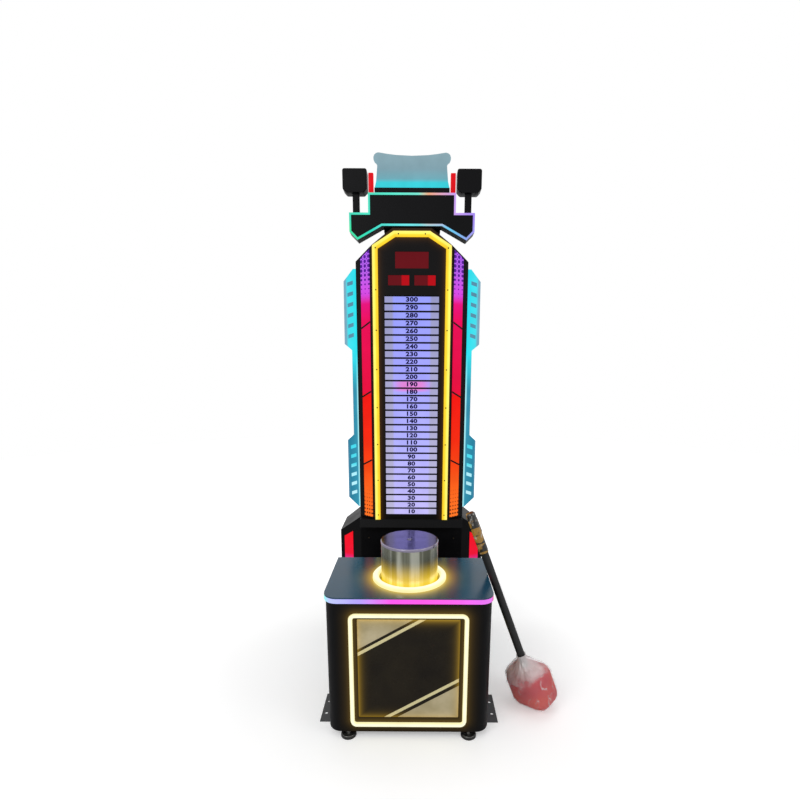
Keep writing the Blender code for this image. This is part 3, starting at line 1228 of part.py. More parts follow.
# ---------------------------------------------------------------- mallet
def build_mallet():
    """Mallet leaning on the plate's right edge, its head on the floor."""
    down = Vector((math.sin(LEAN), 0, -math.cos(LEAN)))
    clear = Vector((math.cos(LEAN), 0, math.sin(LEAN))) * (HANDLE_RADIUS + GAP)
    on_edge = Vector((PLATE_HALF, HANDLE_Y, PLATE_TOP)) + clear
    turn = Matrix.Rotation(-LEAN, 4, "Y") @ Matrix.Rotation(HEAD_TURN, 4, "Z")
    half = Vector(HEAD_SIZE) / 2
    head = block_mesh(-half, half)
    probe = helper("mallet_probe", head)
    round_edges(probe, HEAD_EDGE, 3)
    rounded = mesh_of(probe)
    bpy.data.objects.remove(probe)
    lowest = min((turn @ v.co).z for v in rounded.vertices)
    centre = on_edge + down * ((on_edge.z + lowest) / math.cos(LEAN))
    place = Matrix.Translation(centre) @ turn
    empty = joint_empty("mallet_axis", centre)

    piece = add("mallet_head", rounded, MALLET_RED, empty, place)
    bore = rod_mesh((0, 0, -half.z - REACH), (0, 0, half.z + REACH), HANDLE_RADIUS + GAP, 16)
    bore.transform(place)
    cut(piece, bore)
    top = MALLET_LENGTH - half.z
    grip_low = top - GRIP_LENGTH
    handle = turned_mesh(rod_profile(HANDLE_RADIUS, -half.z + GAP, top - GRIP_CAP - GAP), 16)
    handle.shade_smooth()
    handle.set_sharp_from_angle(angle=math.radians(35))
    add("mallet_handle", handle, RUBBER, empty, place)
    outer = HANDLE_RADIUS + GRIP_WALL
    inner = HANDLE_RADIUS + GAP
    grip = [(0, top), (outer * 0.8, top), (outer, top - GRIP_CAP), (outer, grip_low), (inner, grip_low),
            (inner, top - GRIP_CAP), (0, top - GRIP_CAP)]
    grip_mesh = turned_mesh(grip, 20)
    grip_mesh.shade_smooth()
    grip_mesh.set_sharp_from_angle(angle=math.radians(35))
    add("mallet_grip", grip_mesh, MALLET_GRIP, empty, place)


def centre_on_floor():
    """Shift the machine so that its bounding box stands on the origin, centred."""
    graph = bpy.context.evaluated_depsgraph_get()
    graph.update()
    low = Vector((math.inf,) * 3)
    high = Vector((-math.inf,) * 3)
    for piece in machine.objects:
        if piece.type != "MESH":
            continue
        for vertex in piece.evaluated_get(graph).data.vertices:
            point = piece.matrix_world @ vertex.co
            low = Vector(map(min, low, point))
            high = Vector(map(max, high, point))
    root.location = (-(low.x + high.x) / 2, -(low.y + high.y) / 2, 0)
    graph.update()


build_base_casing()
build_top_plate()
build_edge_light()
build_front()
build_side_lights()
build_impact_frame()
build_pad()
build_pad_support()
build_ring_light()
build_foot_casing()
build_foot_lights()
build_bridge()
build_foot_door()
build_rear_door()
build_inlet()
build_tower_casing()
build_tower_front()
build_facet_lights()
build_wings()
build_electronics()
build_header()
build_brackets()
build_feet()
build_mallet()
centre_on_floor()
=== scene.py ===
# %% [markdown]
# # A strength tester, finished piece by piece
# The machine is a strike pad on a low cabinet, a lit score tower behind it and a mallet.
# Its solids come ready made, each in its place and tied to the body that carries it.
# This lesson gives every solid its finish and adds the small things that sit on them:
# score bars and numbers, screws, dividers, a blank plate and the film round the mallet.

import math

import bmesh
import bpy
from mathutils import Matrix, Vector, noise
from mathutils.bvhtree import BVHTree


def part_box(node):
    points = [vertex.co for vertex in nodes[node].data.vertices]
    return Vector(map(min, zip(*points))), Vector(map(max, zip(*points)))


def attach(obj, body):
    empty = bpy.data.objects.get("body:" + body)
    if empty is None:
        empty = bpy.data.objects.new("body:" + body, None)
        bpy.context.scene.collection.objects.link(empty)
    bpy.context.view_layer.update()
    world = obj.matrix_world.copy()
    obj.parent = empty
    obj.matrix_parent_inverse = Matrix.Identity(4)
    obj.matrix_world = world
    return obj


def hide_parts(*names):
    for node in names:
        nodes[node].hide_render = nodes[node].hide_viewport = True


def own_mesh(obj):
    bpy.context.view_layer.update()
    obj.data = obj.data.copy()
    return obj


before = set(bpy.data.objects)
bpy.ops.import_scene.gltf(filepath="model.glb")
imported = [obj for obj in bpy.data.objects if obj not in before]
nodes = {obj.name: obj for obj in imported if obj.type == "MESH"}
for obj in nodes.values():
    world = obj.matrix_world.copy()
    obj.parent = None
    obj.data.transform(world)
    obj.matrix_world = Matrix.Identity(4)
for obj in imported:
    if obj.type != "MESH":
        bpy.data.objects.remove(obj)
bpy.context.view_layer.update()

# %% [markdown]
# ## One place to measure from
# A cabinet maker marks out from one edge. Here that edge is the front of the strike plate, at
# the machine's middle, so a place reads as across, back and up from there, in metres.

# %% Measure from the strike plate
plate_low, plate_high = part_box("base_top_plate")
MIDDLE = (plate_low.x + plate_high.x) / 2
FRONT = plate_low.y
PLATE_HALF = (plate_high.x - plate_low.x) / 2


def at(across, back, up):
    return Vector((MIDDLE + across, FRONT + back, up))


print("plate half width", round(PLATE_HALF, 4), "plate top", round(plate_high.z, 4))

# %% [markdown]
# ## Camera
# A standing player sees the machine from eye height, a few steps back, looking slightly down.
# A short lens takes in the whole tower. The lens shift only slides the picture on the sheet.

# %% Set up the camera
EYE = at(0.035, -1.829, 1.587)
LOOK_DOWN = -0.210
LOOK_LEFT = 0.001
HEAD_TILT = 0.005
LENS_MM = 22.09
SHIFT = (-0.0218, 0.0871)

link = bpy.context.scene.collection.objects.link
camera = bpy.data.cameras.new("player_eye")
camera.lens = LENS_MM
camera.shift_x, camera.shift_y = SHIFT
player = bpy.data.objects.new("player_eye", camera)
link(player)
player.matrix_world = (
    Matrix.Translation(EYE)
    @ Matrix.Rotation(LOOK_LEFT, 4, "Z")
    @ Matrix.Rotation(math.pi / 2 + LOOK_DOWN, 4, "X")
    @ Matrix.Rotation(HEAD_TILT, 4, "Z")
)
bpy.context.scene.camera = player
bpy.context.scene.view_settings.view_transform = "Standard"
print("eye height", round(EYE.z, 3))

# %% [markdown]
# ## A way to write finishes
# A finish is one Principled shader with a few nodes in front of it. Clicking them together by
# hand is slow for twenty finishes, so this small class keeps the material and adds nodes with
# one short call each. Paint colours are written as the eye reads them, 0 to 255, and turned
# into the linear light that the renderer works in.

# %% Helpers for paint and nodes


def paint(red, green, blue):
    linear = []
    for part in (red / 255, green / 255, blue / 255):
        linear.append(part / 12.92 if part <= 0.04045 else ((part + 0.055) / 1.055) ** 2.4)
    return (*linear, 1.0)


def dim(colour, share, lift=0.0):
    return (*(min(1.0, share * part + lift) for part in colour[:3]), 1.0)


DARK, WHITE = (0.0, 0.0, 0.0, 1.0), (1.0, 1.0, 1.0, 1.0)


class Finish:
    """One material on the bench: its Principled shader, and short ways to add nodes to it."""

    def __init__(self, name, colour, roughness, metallic=0.0, gloss=0.5):
        self.material = bpy.data.materials.new(name)
        self.material.use_nodes = True
        self.tree = self.material.node_tree
        self.skin = self.tree.nodes["Principled BSDF"]
        self.skin.inputs["Base Color"].default_value = colour
        self.skin.inputs["Roughness"].default_value = roughness
        self.skin.inputs["Metallic"].default_value = metallic
        self.skin.inputs["Specular IOR Level"].default_value = gloss
        self.position = self.add("ShaderNodeTexCoord").outputs["Object"]
        split = self.add("ShaderNodeSeparateXYZ", {"Vector": self.position})
        self.x = self.minus(split.outputs["X"], MIDDLE)
        self.y = self.minus(split.outputs["Y"], FRONT)
        self.z = split.outputs["Z"]

    def add(self, kind, inputs=None, **settings):
        made = self.tree.nodes.new(kind)
        for setting, value in settings.items():
            setattr(made, setting, value)
        for socket, value in (inputs or {}).items():
            self.plug(made.inputs[socket], value)
        return made

    def plug(self, socket, value):
        if isinstance(value, bpy.types.NodeSocket):
            self.tree.links.new(value, socket)
        else:
            socket.default_value = value

    def math(self, operation, *values):
        return self.add("ShaderNodeMath", dict(enumerate(values)), operation=operation).outputs[0]

    def fit(self, value, low, high, to_low=0.0, to_high=1.0, smooth=False):
        """value, from low to high, read as to_low to to_high and held at the ends."""
        way = "SMOOTHSTEP" if smooth else "LINEAR"
        inputs = {"Value": value, "From Min": low, "From Max": high,
                  "To Min": to_low, "To Max": to_high}
        return self.add("ShaderNodeMapRange", inputs, interpolation_type=way).outputs[0]

    def plus(self, first, second):
        return self.math("ADD", first, second)

    def minus(self, first, second):
        return self.math("SUBTRACT", first, second)

    def times(self, first, second):
        return self.math("MULTIPLY", first, second)

    def larger(self, first, second):
        return self.math("MAXIMUM", first, second)

    def size(self, value):
        return self.math("ABSOLUTE", value)

    def length(self, x, y):
        """The length of a step of x and y, by Pythagoras."""
        return self.math("SQRT", self.plus(self.times(x, x), self.times(y, y)))

    def apart(self, first, second):
        """How far two numbers lie apart, whichever is the larger."""
        return self.size(self.minus(first, second))

    def ramp(self, value, stops, low=None, high=None):
        """A colour read off stops, written as (place, red, green, blue)."""
        low = stops[0][0] if low is None else low
        high = stops[-1][0] if high is None else high
        made = self.add("ShaderNodeValToRGB", {"Fac": self.fit(value, low, high)})
        points = made.color_ramp.elements
        while len(points) < len(stops):
            points.new(1.0)
        for point, (place, *colour) in zip(points, stops):
            point.position = (place - low) / (high - low)
            point.color = paint(*colour)
        return made.outputs["Color"]

    def blend(self, share, first, second):
        made = self.add("ShaderNodeMix", data_type="RGBA")
        self.plug(made.inputs["Factor"], share)
        self.plug(made.inputs["A"], first)
        self.plug(made.inputs["B"], second)
        return made.outputs["Result"]

    def speckle(self, scale, detail=3.0, stretch=(1.0, 1.0, 1.0)):
        """Noise from 0 to 1, scale to the metre, drawn out where stretch is small."""
        where = self.add("ShaderNodeMapping", {"Vector": self.position, "Scale": stretch})
        inputs = {"Vector": where.outputs[0], "Scale": scale, "Detail": detail}
        return self.add("ShaderNodeTexNoise", inputs).outputs["Fac"]

    def rough(self, value):
        self.plug(self.skin.inputs["Roughness"], value)

    def body(self, colour):
        self.plug(self.skin.inputs["Base Color"], colour)

    def body_blend(self, share, first, second):
        self.body(self.blend(share, first, second))

    def bump(self, height, strength, depth):
        inputs = {"Height": height, "Strength": strength, "Distance": depth}
        self.plug(self.skin.inputs["Normal"], self.add("ShaderNodeBump", inputs).outputs[0])

    def wear(self, roughness, spread, scale=9.0):
        """Roughness that drifts either side of a middle value, as handled surfaces do."""
        patches = self.speckle(scale, 4.0)
        self.rough(self.fit(patches, 0.3, 0.7, roughness - spread, roughness + spread))
        return patches

    def light(self, colour, strength=1.0):
        self.plug(self.skin.inputs["Emission Color"], colour)
        self.skin.inputs["Emission Strength"].default_value = strength


def give(finish, *names):
    for name in names:
        nodes[name].material_slots[0].material = finish.material
    print(finish.material.name, "on", len(names))


def pair(part):
    return [f"{part}_{side}" for side in ("left", "right")]


def all_four(part):
    return pair(f"{part}_base") + pair(f"{part}_tower")


# %% [markdown]
# ## Softer edges
# No folded sheet or moulded part has a razor edge: a folded edge is rounded by a millimetre or
# two and catches a thin line of light. The solids are left as they are, and modifiers do this
# for the picture: one joins their loose corners and smooths shallow angles, one rounds the rest.

# %% Modifiers that round the solids' edges
SMOOTH_UNDER = math.radians(34)


def smooth_shallow_angles():
    tree = bpy.data.node_groups.new("smooth_shallow_angles", "GeometryNodeTree")
    tree.interface.new_socket("Geometry", in_out="INPUT", socket_type="NodeSocketGeometry")
    tree.interface.new_socket("Geometry", in_out="OUTPUT", socket_type="NodeSocketGeometry")
    start = tree.nodes.new("NodeGroupInput")
    joined = tree.nodes.new("GeometryNodeMergeByDistance")
    joined.inputs["Distance"].default_value = 0.00001
    plain = tree.nodes.new("GeometryNodeRemoveAttribute")
    plain.inputs["Name"].default_value = "custom_normal"
    smooth = tree.nodes.new("GeometryNodeSetShadeSmooth")
    angle = tree.nodes.new("GeometryNodeInputMeshEdgeAngle")
    steep = tree.nodes.new("ShaderNodeMath")
    steep.operation = "GREATER_THAN"
    steep.inputs[1].default_value = SMOOTH_UNDER
    sharp = tree.nodes.new("GeometryNodeSetShadeSmooth")
    sharp.domain = "EDGE"
    sharp.inputs["Shade Smooth"].default_value = False
    end = tree.nodes.new("NodeGroupOutput")
    line = [start, joined, plain, smooth, sharp, end]
    for before, after in zip(line, line[1:]):
        tree.links.new(before.outputs[0], after.inputs[0])
    tree.links.new(angle.outputs["Unsigned Angle"], steep.inputs[0])
    tree.links.new(steep.outputs[0], sharp.inputs["Selection"])
    return tree


SMOOTHING = smooth_shallow_angles()


def soften(piece, radius):
    piece.modifiers.new("smooth_shallow_angles", "NODES").node_group = SMOOTHING
    edge = piece.modifiers.new("rounded_edges", "BEVEL")
    edge.width = radius
    edge.segments = 2
    edge.limit_method = "ANGLE"
    edge.angle_limit = SMOOTH_UNDER
    edge.harden_normals = True


EDGE_RADIUS = {
    "base_casing": 0.0025, "foot_casing": 0.0025, "tower_casing": 0.002, "base_top_plate": 0.0015,
    "header_box": 0.001, "block_ornament_left": 0.003, "block_ornament_right": 0.003,
    "front_light_tube": 0.0, "mallet_handle": 0.002, "mallet_grip": 0.0015}
for name, solid in nodes.items():
    soften(solid, EDGE_RADIUS.get(name, 0.0006))
print("edges rounded on", len(nodes))

# %% [markdown]
# ## New pieces
# Every added piece is drawn straight in the machine's own frame as a bmesh, so it needs no
# moving. These helpers draw the shapes that repeat: a bar with broken edges, and a turned screw
# head with a hexagon socket. Another turns a finished bmesh into a piece that rides on a body.

# %% Helpers for new pieces


def keep(name, shape, finish, body):
    """Turns a bmesh into a piece that rides on a body and takes its finish from a slot."""
    mesh = bpy.data.meshes.new(name)
    bmesh.ops.recalc_face_normals(shape, faces=shape.faces)
    shape.to_mesh(mesh)
    shape.free()
    piece = bpy.data.objects.new(name, mesh)
    link(piece)
    mesh.materials.append(finish.material)
    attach(piece, body)
    print(name, "faces", len(mesh.polygons))
    return piece


def add_bar(shape, low, high, broken=0.0):
    """A rectangular bar between two corners, its edges broken by a small bevel."""
    middle = (low + high) / 2
    size = high - low
    place = Matrix.Translation(middle) @ Matrix.Diagonal((*size, 1.0))
    bar = bmesh.ops.create_cube(shape, size=1.0, matrix=place)
    if broken:
        edges = list({edge for vert in bar["verts"] for edge in vert.link_edges})
        bmesh.ops.bevel(shape, geom=edges, offset=broken, segments=2, affect="EDGES", profile=0.5)


def add_turned(shape, place, profile, steps):
    """A turned part: (radius, height) pairs spun round the local Z axis of place."""
    rings = []
    for radius, height in profile:
        if radius == 0:
            rings.append([shape.verts.new(place @ Vector((0, 0, height)))])
            continue
        ring = []
        for step in range(steps):
            turn = 2 * math.pi * step / steps
            point = Vector((radius * math.cos(turn), radius * math.sin(turn), height))
            ring.append(shape.verts.new(place @ point))
        rings.append(ring)
    for below, above in zip(rings, rings[1:]):
        for step in range(steps):
            after = (step + 1) % steps
            corners = [below[step % len(below)], below[after % len(below)],
                       above[after % len(above)], above[step % len(above)]]
            unique = list(dict.fromkeys(corners))
            if len(unique) > 2:
                shape.faces.new(unique)


def facing(place, direction):
    """A frame at place whose Z axis points along direction."""
    return Matrix.Translation(place) @ direction.to_track_quat("Z", "Y").to_matrix().to_4x4()


DOME = ((1.0, 0.0), (1.0, 0.12), (0.86, 0.42), (0.62, 0.56), (0.46, 0.58))
SOCKET = ((0.46, 0.58), (0.40, 0.50), (0.38, 0.2), (0.0, 0.2))


def add_screw(shape, place, direction, radius):
    """A domed screw head with a hexagon socket, standing on place."""
    where = facing(place, direction)
    for profile, steps in ((DOME, 12), (SOCKET, 6)):
        add_turned(shape, where, [(radius * out, radius * up) for out, up in profile], steps)


TOWARDS_PLAYER = Vector((0, -1, 0))

# %% [markdown]
# ## Black powder coat
# The cabinets are folded sheet, powder coated in satin black. Powder melts into a skin with a
# fine grain of about a millimetre, and hands leave it slightly glossier in patches. A low gloss
# value keeps the black deep under a bright ceiling.

# %% Powder coat


def powder_coat(name, colour, roughness=0.42):
    coat = Finish(name, colour, roughness, gloss=0.08)
    patches = coat.wear(roughness, 0.07)
    coat.body_blend(patches, dim(colour, 0.7), colour)
    coat.bump(coat.speckle(700, 2.0), 0.22, 0.0003)
    return coat


BLACK = paint(11, 11, 13)
black_coat = powder_coat("black_powder_coat", BLACK)
give(black_coat, "bridge_duct", "foot_casing", "foot_door", "header_box", "header_neck",
     "impact_frame", "marquee_holder", "tower_casing", "rear_door", *pair("block_ornament"))

bracket_coat = powder_coat("bracket_powder_coat", paint(96, 96, 98), 0.5)
give(bracket_coat, *all_four("floor_bracket"))

# %% [markdown]
# ## Light that spills on the coat
# A lit tube colours the black beside it: strongest at the tube, gone a few centimetres away.
# The distance to a rounded frame is a known formula with two maximums and one square root, and
# an exponential of it gives the fall-off. It is fixed to the sheet, so it turns with it.

# %% Distance to a lit frame and its spill


def distance_to_frame(coat, middle_z, half_x, half_z, corner):
    """How far a point lies, seen from the front, from a rounded frame round the middle."""
    out_x = coat.minus(coat.size(coat.x), half_x - corner)
    out_z = coat.minus(coat.apart(coat.z, middle_z), half_z - corner)
    beyond_x = coat.larger(out_x, 0.0)
    beyond_z = coat.larger(out_z, 0.0)
    beyond = coat.length(beyond_x, beyond_z)
    within = coat.math("MINIMUM", coat.larger(out_x, out_z), 0.0)
    return coat.apart(coat.plus(beyond, within), corner)


def spill(coat, distance, reach, colour, strength):
    """Light of a colour that falls away with distance, by a factor of e over each reach."""
    fading = coat.math("EXPONENT", coat.times(distance, -1 / reach))
    coat.light(coat.blend(fading, DARK, colour), strength)
    return fading


tube_low, tube_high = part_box("front_light_tube")
TUBE_RADIUS = (tube_high.y - tube_low.y) / 2
TUBE_HALF_X = (tube_high.x - tube_low.x) / 2 - TUBE_RADIUS
TUBE_HALF_Z = (tube_high.z - tube_low.z) / 2 - TUBE_RADIUS
TUBE_MIDDLE_Z = (tube_high.z + tube_low.z) / 2
TUBE_CORNER = 0.019
GOLD_SPILL = paint(224, 176, 70)
SPILL_REACH = 0.016

base_coat = powder_coat("base_powder_coat", BLACK)
tube_far = distance_to_frame(base_coat, TUBE_MIDDLE_Z, TUBE_HALF_X, TUBE_HALF_Z, TUBE_CORNER)
beside_tube = base_coat.larger(base_coat.minus(tube_far, TUBE_RADIUS), 0.0)
behind_front = base_coat.fit(base_coat.y, 0.012, 0.030, 0.0, 0.08)
spill(base_coat, base_coat.plus(beside_tube, behind_front), SPILL_REACH, GOLD_SPILL, 0.12)
give(base_coat, "base_casing")

# %% [markdown]
# ## The yellow border's spill
# The strip round the tower's front does the same to the sheet it is screwed to. Its outline is
# the tower's: two upright edges and a roof that slopes to a flat top. The distance inside such
# an outline is the smallest of the distances to its edges.

# %% Bezel beside the border light
border_low, border_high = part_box("border_light")
BORDER_HALF = (border_high.x - border_low.x) / 2
BORDER_TOP = border_high.z
BORDER_TOP_HALF = 0.088
BORDER_CORNER = 2.155
BORDER_WIDE = 0.027
slope = Vector((BORDER_HALF - BORDER_TOP_HALF, 0, BORDER_CORNER - BORDER_TOP)).normalized()
SLOPE_OUT = Vector((-slope.z, 0, slope.x))


def depth_in_border(coat):
    """How far a point on the tower's front lies inside the border's outer edge."""
    across = coat.size(coat.x)
    side = coat.minus(BORDER_HALF, across)
    top = coat.minus(BORDER_TOP, coat.z)
    along_x = coat.times(coat.minus(BORDER_HALF, across), SLOPE_OUT.x)
    along_z = coat.times(coat.minus(BORDER_CORNER, coat.z), SLOPE_OUT.z)
    roof = coat.plus(along_x, along_z)
    return coat.math("MINIMUM", side, coat.math("MINIMUM", top, roof))


bezel_coat = powder_coat("bezel_powder_coat", paint(15, 14, 15), 0.36)
inside = depth_in_border(bezel_coat)
from_strip = bezel_coat.apart(inside, BORDER_WIDE / 2)
beside_strip = bezel_coat.larger(bezel_coat.minus(from_strip, BORDER_WIDE / 2), 0.0)
spill(bezel_coat, beside_strip, 0.010, paint(190, 120, 20), 0.12)
give(bezel_coat, "front_bezel")

# %% [markdown]
# ## Lit diffusers
# A diffuser is milky acrylic with diodes behind it. It gives off its own colour, a touch uneven
# from diode to diode, and still shines a little on its face. The colour goes to the emission
# socket; a dim copy stays as body colour, so that it doesn't look like a hole when it is off.

# %% Plain diffusers
ring_low, ring_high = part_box("ring_light")
PAD_X = (ring_low.x + ring_high.x) / 2 - MIDDLE
PAD_Y = (ring_low.y + ring_high.y) / 2 - FRONT
RING_HALF = 0.0135
RING_MIDDLE = (ring_high.x - ring_low.x) / 2 - RING_HALF


def distance_from_pad(coat):
    return coat.length(coat.minus(coat.x, PAD_X), coat.minus(coat.y, PAD_Y))


def diffuser(name, colour, strength=1.0, roughness=0.28):
    """colour is a paint, or a function that takes the finish and returns a colour socket."""
    glow = Finish(name, (0.2, 0.2, 0.2, 1.0), roughness, gloss=0.06)
    shade = colour(glow) if callable(colour) else colour
    cloudy = glow.fit(glow.speckle(14, 2.0), 0.3, 0.7, 0.0, 1.0)
    dimmer = glow.blend(0.10, shade, DARK)
    lit = glow.blend(cloudy, dimmer, shade)
    glow.light(lit, strength)
    glow.body_blend(0.86, lit, DARK)
    glow.wear(roughness, 0.05, 20)
    return glow


CORE, SKIRT = (255, 254, 222), (255, 244, 176)


def tube_colour(glow):
    off = distance_to_frame(glow, TUBE_MIDDLE_Z, TUBE_HALF_X, TUBE_HALF_Z, TUBE_CORNER)
    return glow.ramp(off, [(0.0, *CORE), (0.0045, *CORE), (0.0088, *SKIRT)], 0.0, TUBE_RADIUS)


def ring_colour(glow):
    off = glow.apart(distance_from_pad(glow), RING_MIDDLE)
    return glow.ramp(off, [(0.0, *CORE), (0.006, *CORE), (RING_HALF, *SKIRT)])


give(diffuser("warm_tube_light", tube_colour), "front_light_tube")
give(diffuser("warm_ring_light", ring_colour), "ring_light")


def border_colour(glow):
    inside = depth_in_border(glow)
    return glow.ramp(inside, [
        (0.0, 255, 240, 120), (0.011, 255, 240, 100), (0.016, 252, 216, 56),
        (0.027, 246, 200, 40)])


give(diffuser("yellow_border_light", border_colour, 1.05), "border_light")
give(diffuser("red_bar_light", paint(214, 16, 28)), *pair("red_bar"))

# %% [markdown]
# ## The colour-changing edge of the plate
# A strip of addressable diodes under the plate's rim runs through several colours at once. The
# strip follows the rim, so one ramp across the machine gives its front edge, and the two ends
# of that ramp give its sides.

# %% Plate edge light


def edge_colour(glow):
    return glow.ramp(glow.x, [
        (-PLATE_HALF, 96, 236, 190), (-0.343, 150, 226, 236), (-0.322, 186, 196, 250),
        (-0.200, 176, 156, 250), (-0.070, 242, 84, 224), (0.124, 252, 92, 226),
        (0.280, 225, 105, 232), (0.338, 225, 120, 235), (PLATE_HALF, 214, 44, 84)])


give(diffuser("plate_edge_light", edge_colour, 1.1), "plate_edge_light")

# %% [markdown]
# ## Strike plate
# The plate is sprayed in a dark blue-grey lacquer and rubbed satin. It mirrors softly, so the
# lit things around it show in it, and the ring round the pad throws a warm pool on it.

# %% Plate lacquer
lacquer = Finish("plate_lacquer", paint(16, 62, 84), 0.20, gloss=0.4)
patches = lacquer.wear(0.23, 0.03, 7)
lacquer.body_blend(patches, paint(12, 56, 78), paint(20, 68, 92))
lacquer.bump(lacquer.speckle(260, 2.0), 0.06, 0.0003)
pool = lacquer.apart(distance_from_pad(lacquer), RING_MIDDLE)
beside_ring = lacquer.larger(lacquer.minus(pool, RING_HALF), 0.0)
spill(lacquer, beside_ring, 0.024, paint(226, 184, 4), 0.80)
give(lacquer, "base_top_plate")

# %% [markdown]
# ## Turned steel
# The pad's drum is turned and brushed round its axis. Brushing leaves hair-fine rings, which a
# noise drawn out in two directions and squeezed in the third gives. Each ring is a hair
# rougher or brighter than the next, and the ring light warms the foot of the drum.

# %% Brushed and spring steel


def brushed_steel(name, colour, roughness, grain):
    steel = Finish(name, colour, roughness, metallic=1.0)
    hairs = steel.speckle(1.0, 3.0, grain)
    smears = steel.speckle(8, 3.0)
    steel.body_blend(hairs, dim(colour, 0.72), colour)
    steel.rough(steel.plus(steel.fit(hairs, 0.2, 0.8, roughness - 0.08, roughness + 0.08),
                           steel.fit(smears, 0.3, 0.7, -0.05, 0.07)))
    steel.bump(hairs, 0.25, 0.0002)
    return steel


drum_steel = brushed_steel("brushed_drum_steel", paint(200, 196, 188), 0.30, (4.0, 4.0, 1800.0))
# Broad upright bands of lighter and darker steel down the drum are painted reflections of the
# studio round it.
painted_reflection_bands = drum_steel.fit(drum_steel.speckle(1.0, 2.0, (34.0, 34.0, 1.5)), 0.36, 0.62, smooth=True)
drum_steel.body_blend(painted_reflection_bands, paint(104, 106, 92), paint(178, 180, 168))
DRUM_FOOT, WARM_UP_TO = 0.672, 0.790
low = drum_steel.fit(drum_steel.z, DRUM_FOOT, WARM_UP_TO, 1.0, 0.0, smooth=True)
drum_steel.light(drum_steel.blend(low, DARK, paint(248, 204, 14)), 0.85)
give(drum_steel, "pad_drum")
inner_steel = brushed_steel("turned_shaft_steel", paint(190, 190, 188), 0.26, (8.0, 8.0, 1200.0))
give(inner_steel, "pad_shaft", "pad_guide")
spring_steel = brushed_steel("oiled_spring_steel", paint(96, 98, 104), 0.34, (500.0, 500.0, 90.0))
give(spring_steel, "pad_spring")

# %% [markdown]
# ## The return spring
# The spring stands still at its foot while the pad comes down on its top. A copy of the coil
# takes the place of the solid one, with a mesh of its own.

# %% Return spring
coil = bmesh.new()
coil.from_mesh(nodes["pad_spring"].data)
spring = keep("return_spring", coil, spring_steel, "machine")
soften(spring, 0.0006)
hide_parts("pad_spring")
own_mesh(spring)

# %% [markdown]
# ## Zinc plate
# Hinges, locks, bolts and the levelling feet are zinc plated. Zinc grows in crystals of a few
# millimetres, called spangle, and cells of a Voronoi texture look just like them. The soles of
# the feet are black rubber, so the metal stops at a height.

# %% Zinc plated parts


def zinc_plate(name, colour):
    zinc = Finish(name, colour, 0.38, metallic=1.0)
    spangle = zinc.add("ShaderNodeTexVoronoi", {"Vector": zinc.position, "Scale": 260.0})
    paler = zinc.fit(spangle.outputs["Distance"], 0.0, 0.9)
    zinc.body_blend(paler, dim(colour, 0.78), colour)
    zinc.wear(0.38, 0.09, 30)
    zinc.bump(zinc.speckle(900, 2.0), 0.15, 0.0002)
    return zinc


zinc = zinc_plate("zinc_plate", paint(186, 188, 192))
give(zinc, "foot_hinge", "foot_lock", "force_sensor", "pad_bolt", "power_supply", "rear_hinge",
     "rear_lock")

SOLE_TOP = 0.0137
foot_zinc = zinc_plate("levelling_foot_zinc", paint(150, 150, 148))
over_sole = foot_zinc.fit(foot_zinc.z, SOLE_TOP - 0.0006, SOLE_TOP)
worn = foot_zinc.speckle(200, 2.0)
foot_zinc.plug(foot_zinc.skin.inputs["Metallic"], over_sole)
metal = foot_zinc.blend(worn, paint(112, 111, 108), paint(152, 151, 148))
foot_zinc.body_blend(over_sole, paint(22, 21, 20), metal)
give(foot_zinc, *all_four("levelling_foot"))

# %% [markdown]
# ## Rubber and moulded plastic
# The pad's face is a steel disc, polished by blows in the middle and scuffed. The buffer is matt
# rubber with a bloom on it, and the mains inlet and its rocker are moulded, with a fine spark
# texture on the face.

# %% Disc, buffer, inlet and rocker
# The steel's lilac tint is a painted reflection of the lit score tower behind it.
disc = Finish("striking_disc", paint(148, 143, 162), 0.12, metallic=1.0)
polish = disc.fit(distance_from_pad(disc), 0.02, 0.12, 0.10, 0.16)
scuffs = disc.speckle(12, 3.0)
disc.rough(disc.plus(polish, disc.fit(scuffs, 0.45, 0.7, 0.0, 0.04)))
disc.body_blend(scuffs, paint(140, 134, 156), paint(154, 148, 170))
disc.bump(disc.speckle(260, 2.0), 0.02, 0.0002)
give(disc, "pad_top_disc")


def rubber(name, colour, roughness):
    made = Finish(name, colour, roughness, gloss=0.3)
    bloom = made.wear(roughness, 0.08, 25)
    made.body_blend(bloom, colour, dim(colour, 1.7, 0.004))
    made.bump(made.speckle(520, 3.0), 0.25, 0.0003)
    return made


give(rubber("black_rubber", paint(24, 24, 25), 0.62), "pad_buffer")
give(rubber("moulded_black_plastic", paint(26, 26, 28), 0.45), "mains_inlet")
give(rubber("moulded_red_plastic", paint(196, 22, 26), 0.35), "power_switch")

# %% [markdown]
# ## Facet lights
# The tower's two chamfered corners and the foot's are lit acrylic. The tower's run from violet at
# the top through magenta and red to orange. At the top three columns of large dots are printed
# with small ones between them, and at the bottom four columns of closer dots. Both fade out
# towards the middle of the light. A place on the facet is folded into one dot's cell, and the
# distance to the cell's centre tells dot from ground.

# %% Tower facet lights
FACET_START = Vector((0.200, 0.732))
FACET_RUN = Vector((0.083, 0.060)).normalized()
DOT_FIRST = 0.0136
DOT_ACROSS = 0.0237
LOW_DOT_ACROSS = 0.0165
DOT_DOWN = 0.0215
DOT_FADE = 0.0012
LARGE_DOT, SMALL_DOT, LOWER_DOT = 0.0088, 0.0036, 0.0058


def along_facet(glow):
    """How far back along the chamfered corner a point lies, the same on both sides."""
    across = glow.minus(glow.size(glow.x), FACET_START.x)
    back = glow.minus(glow.y, FACET_START.y)
    return glow.plus(glow.times(across, FACET_RUN.x), glow.times(back, FACET_RUN.y))


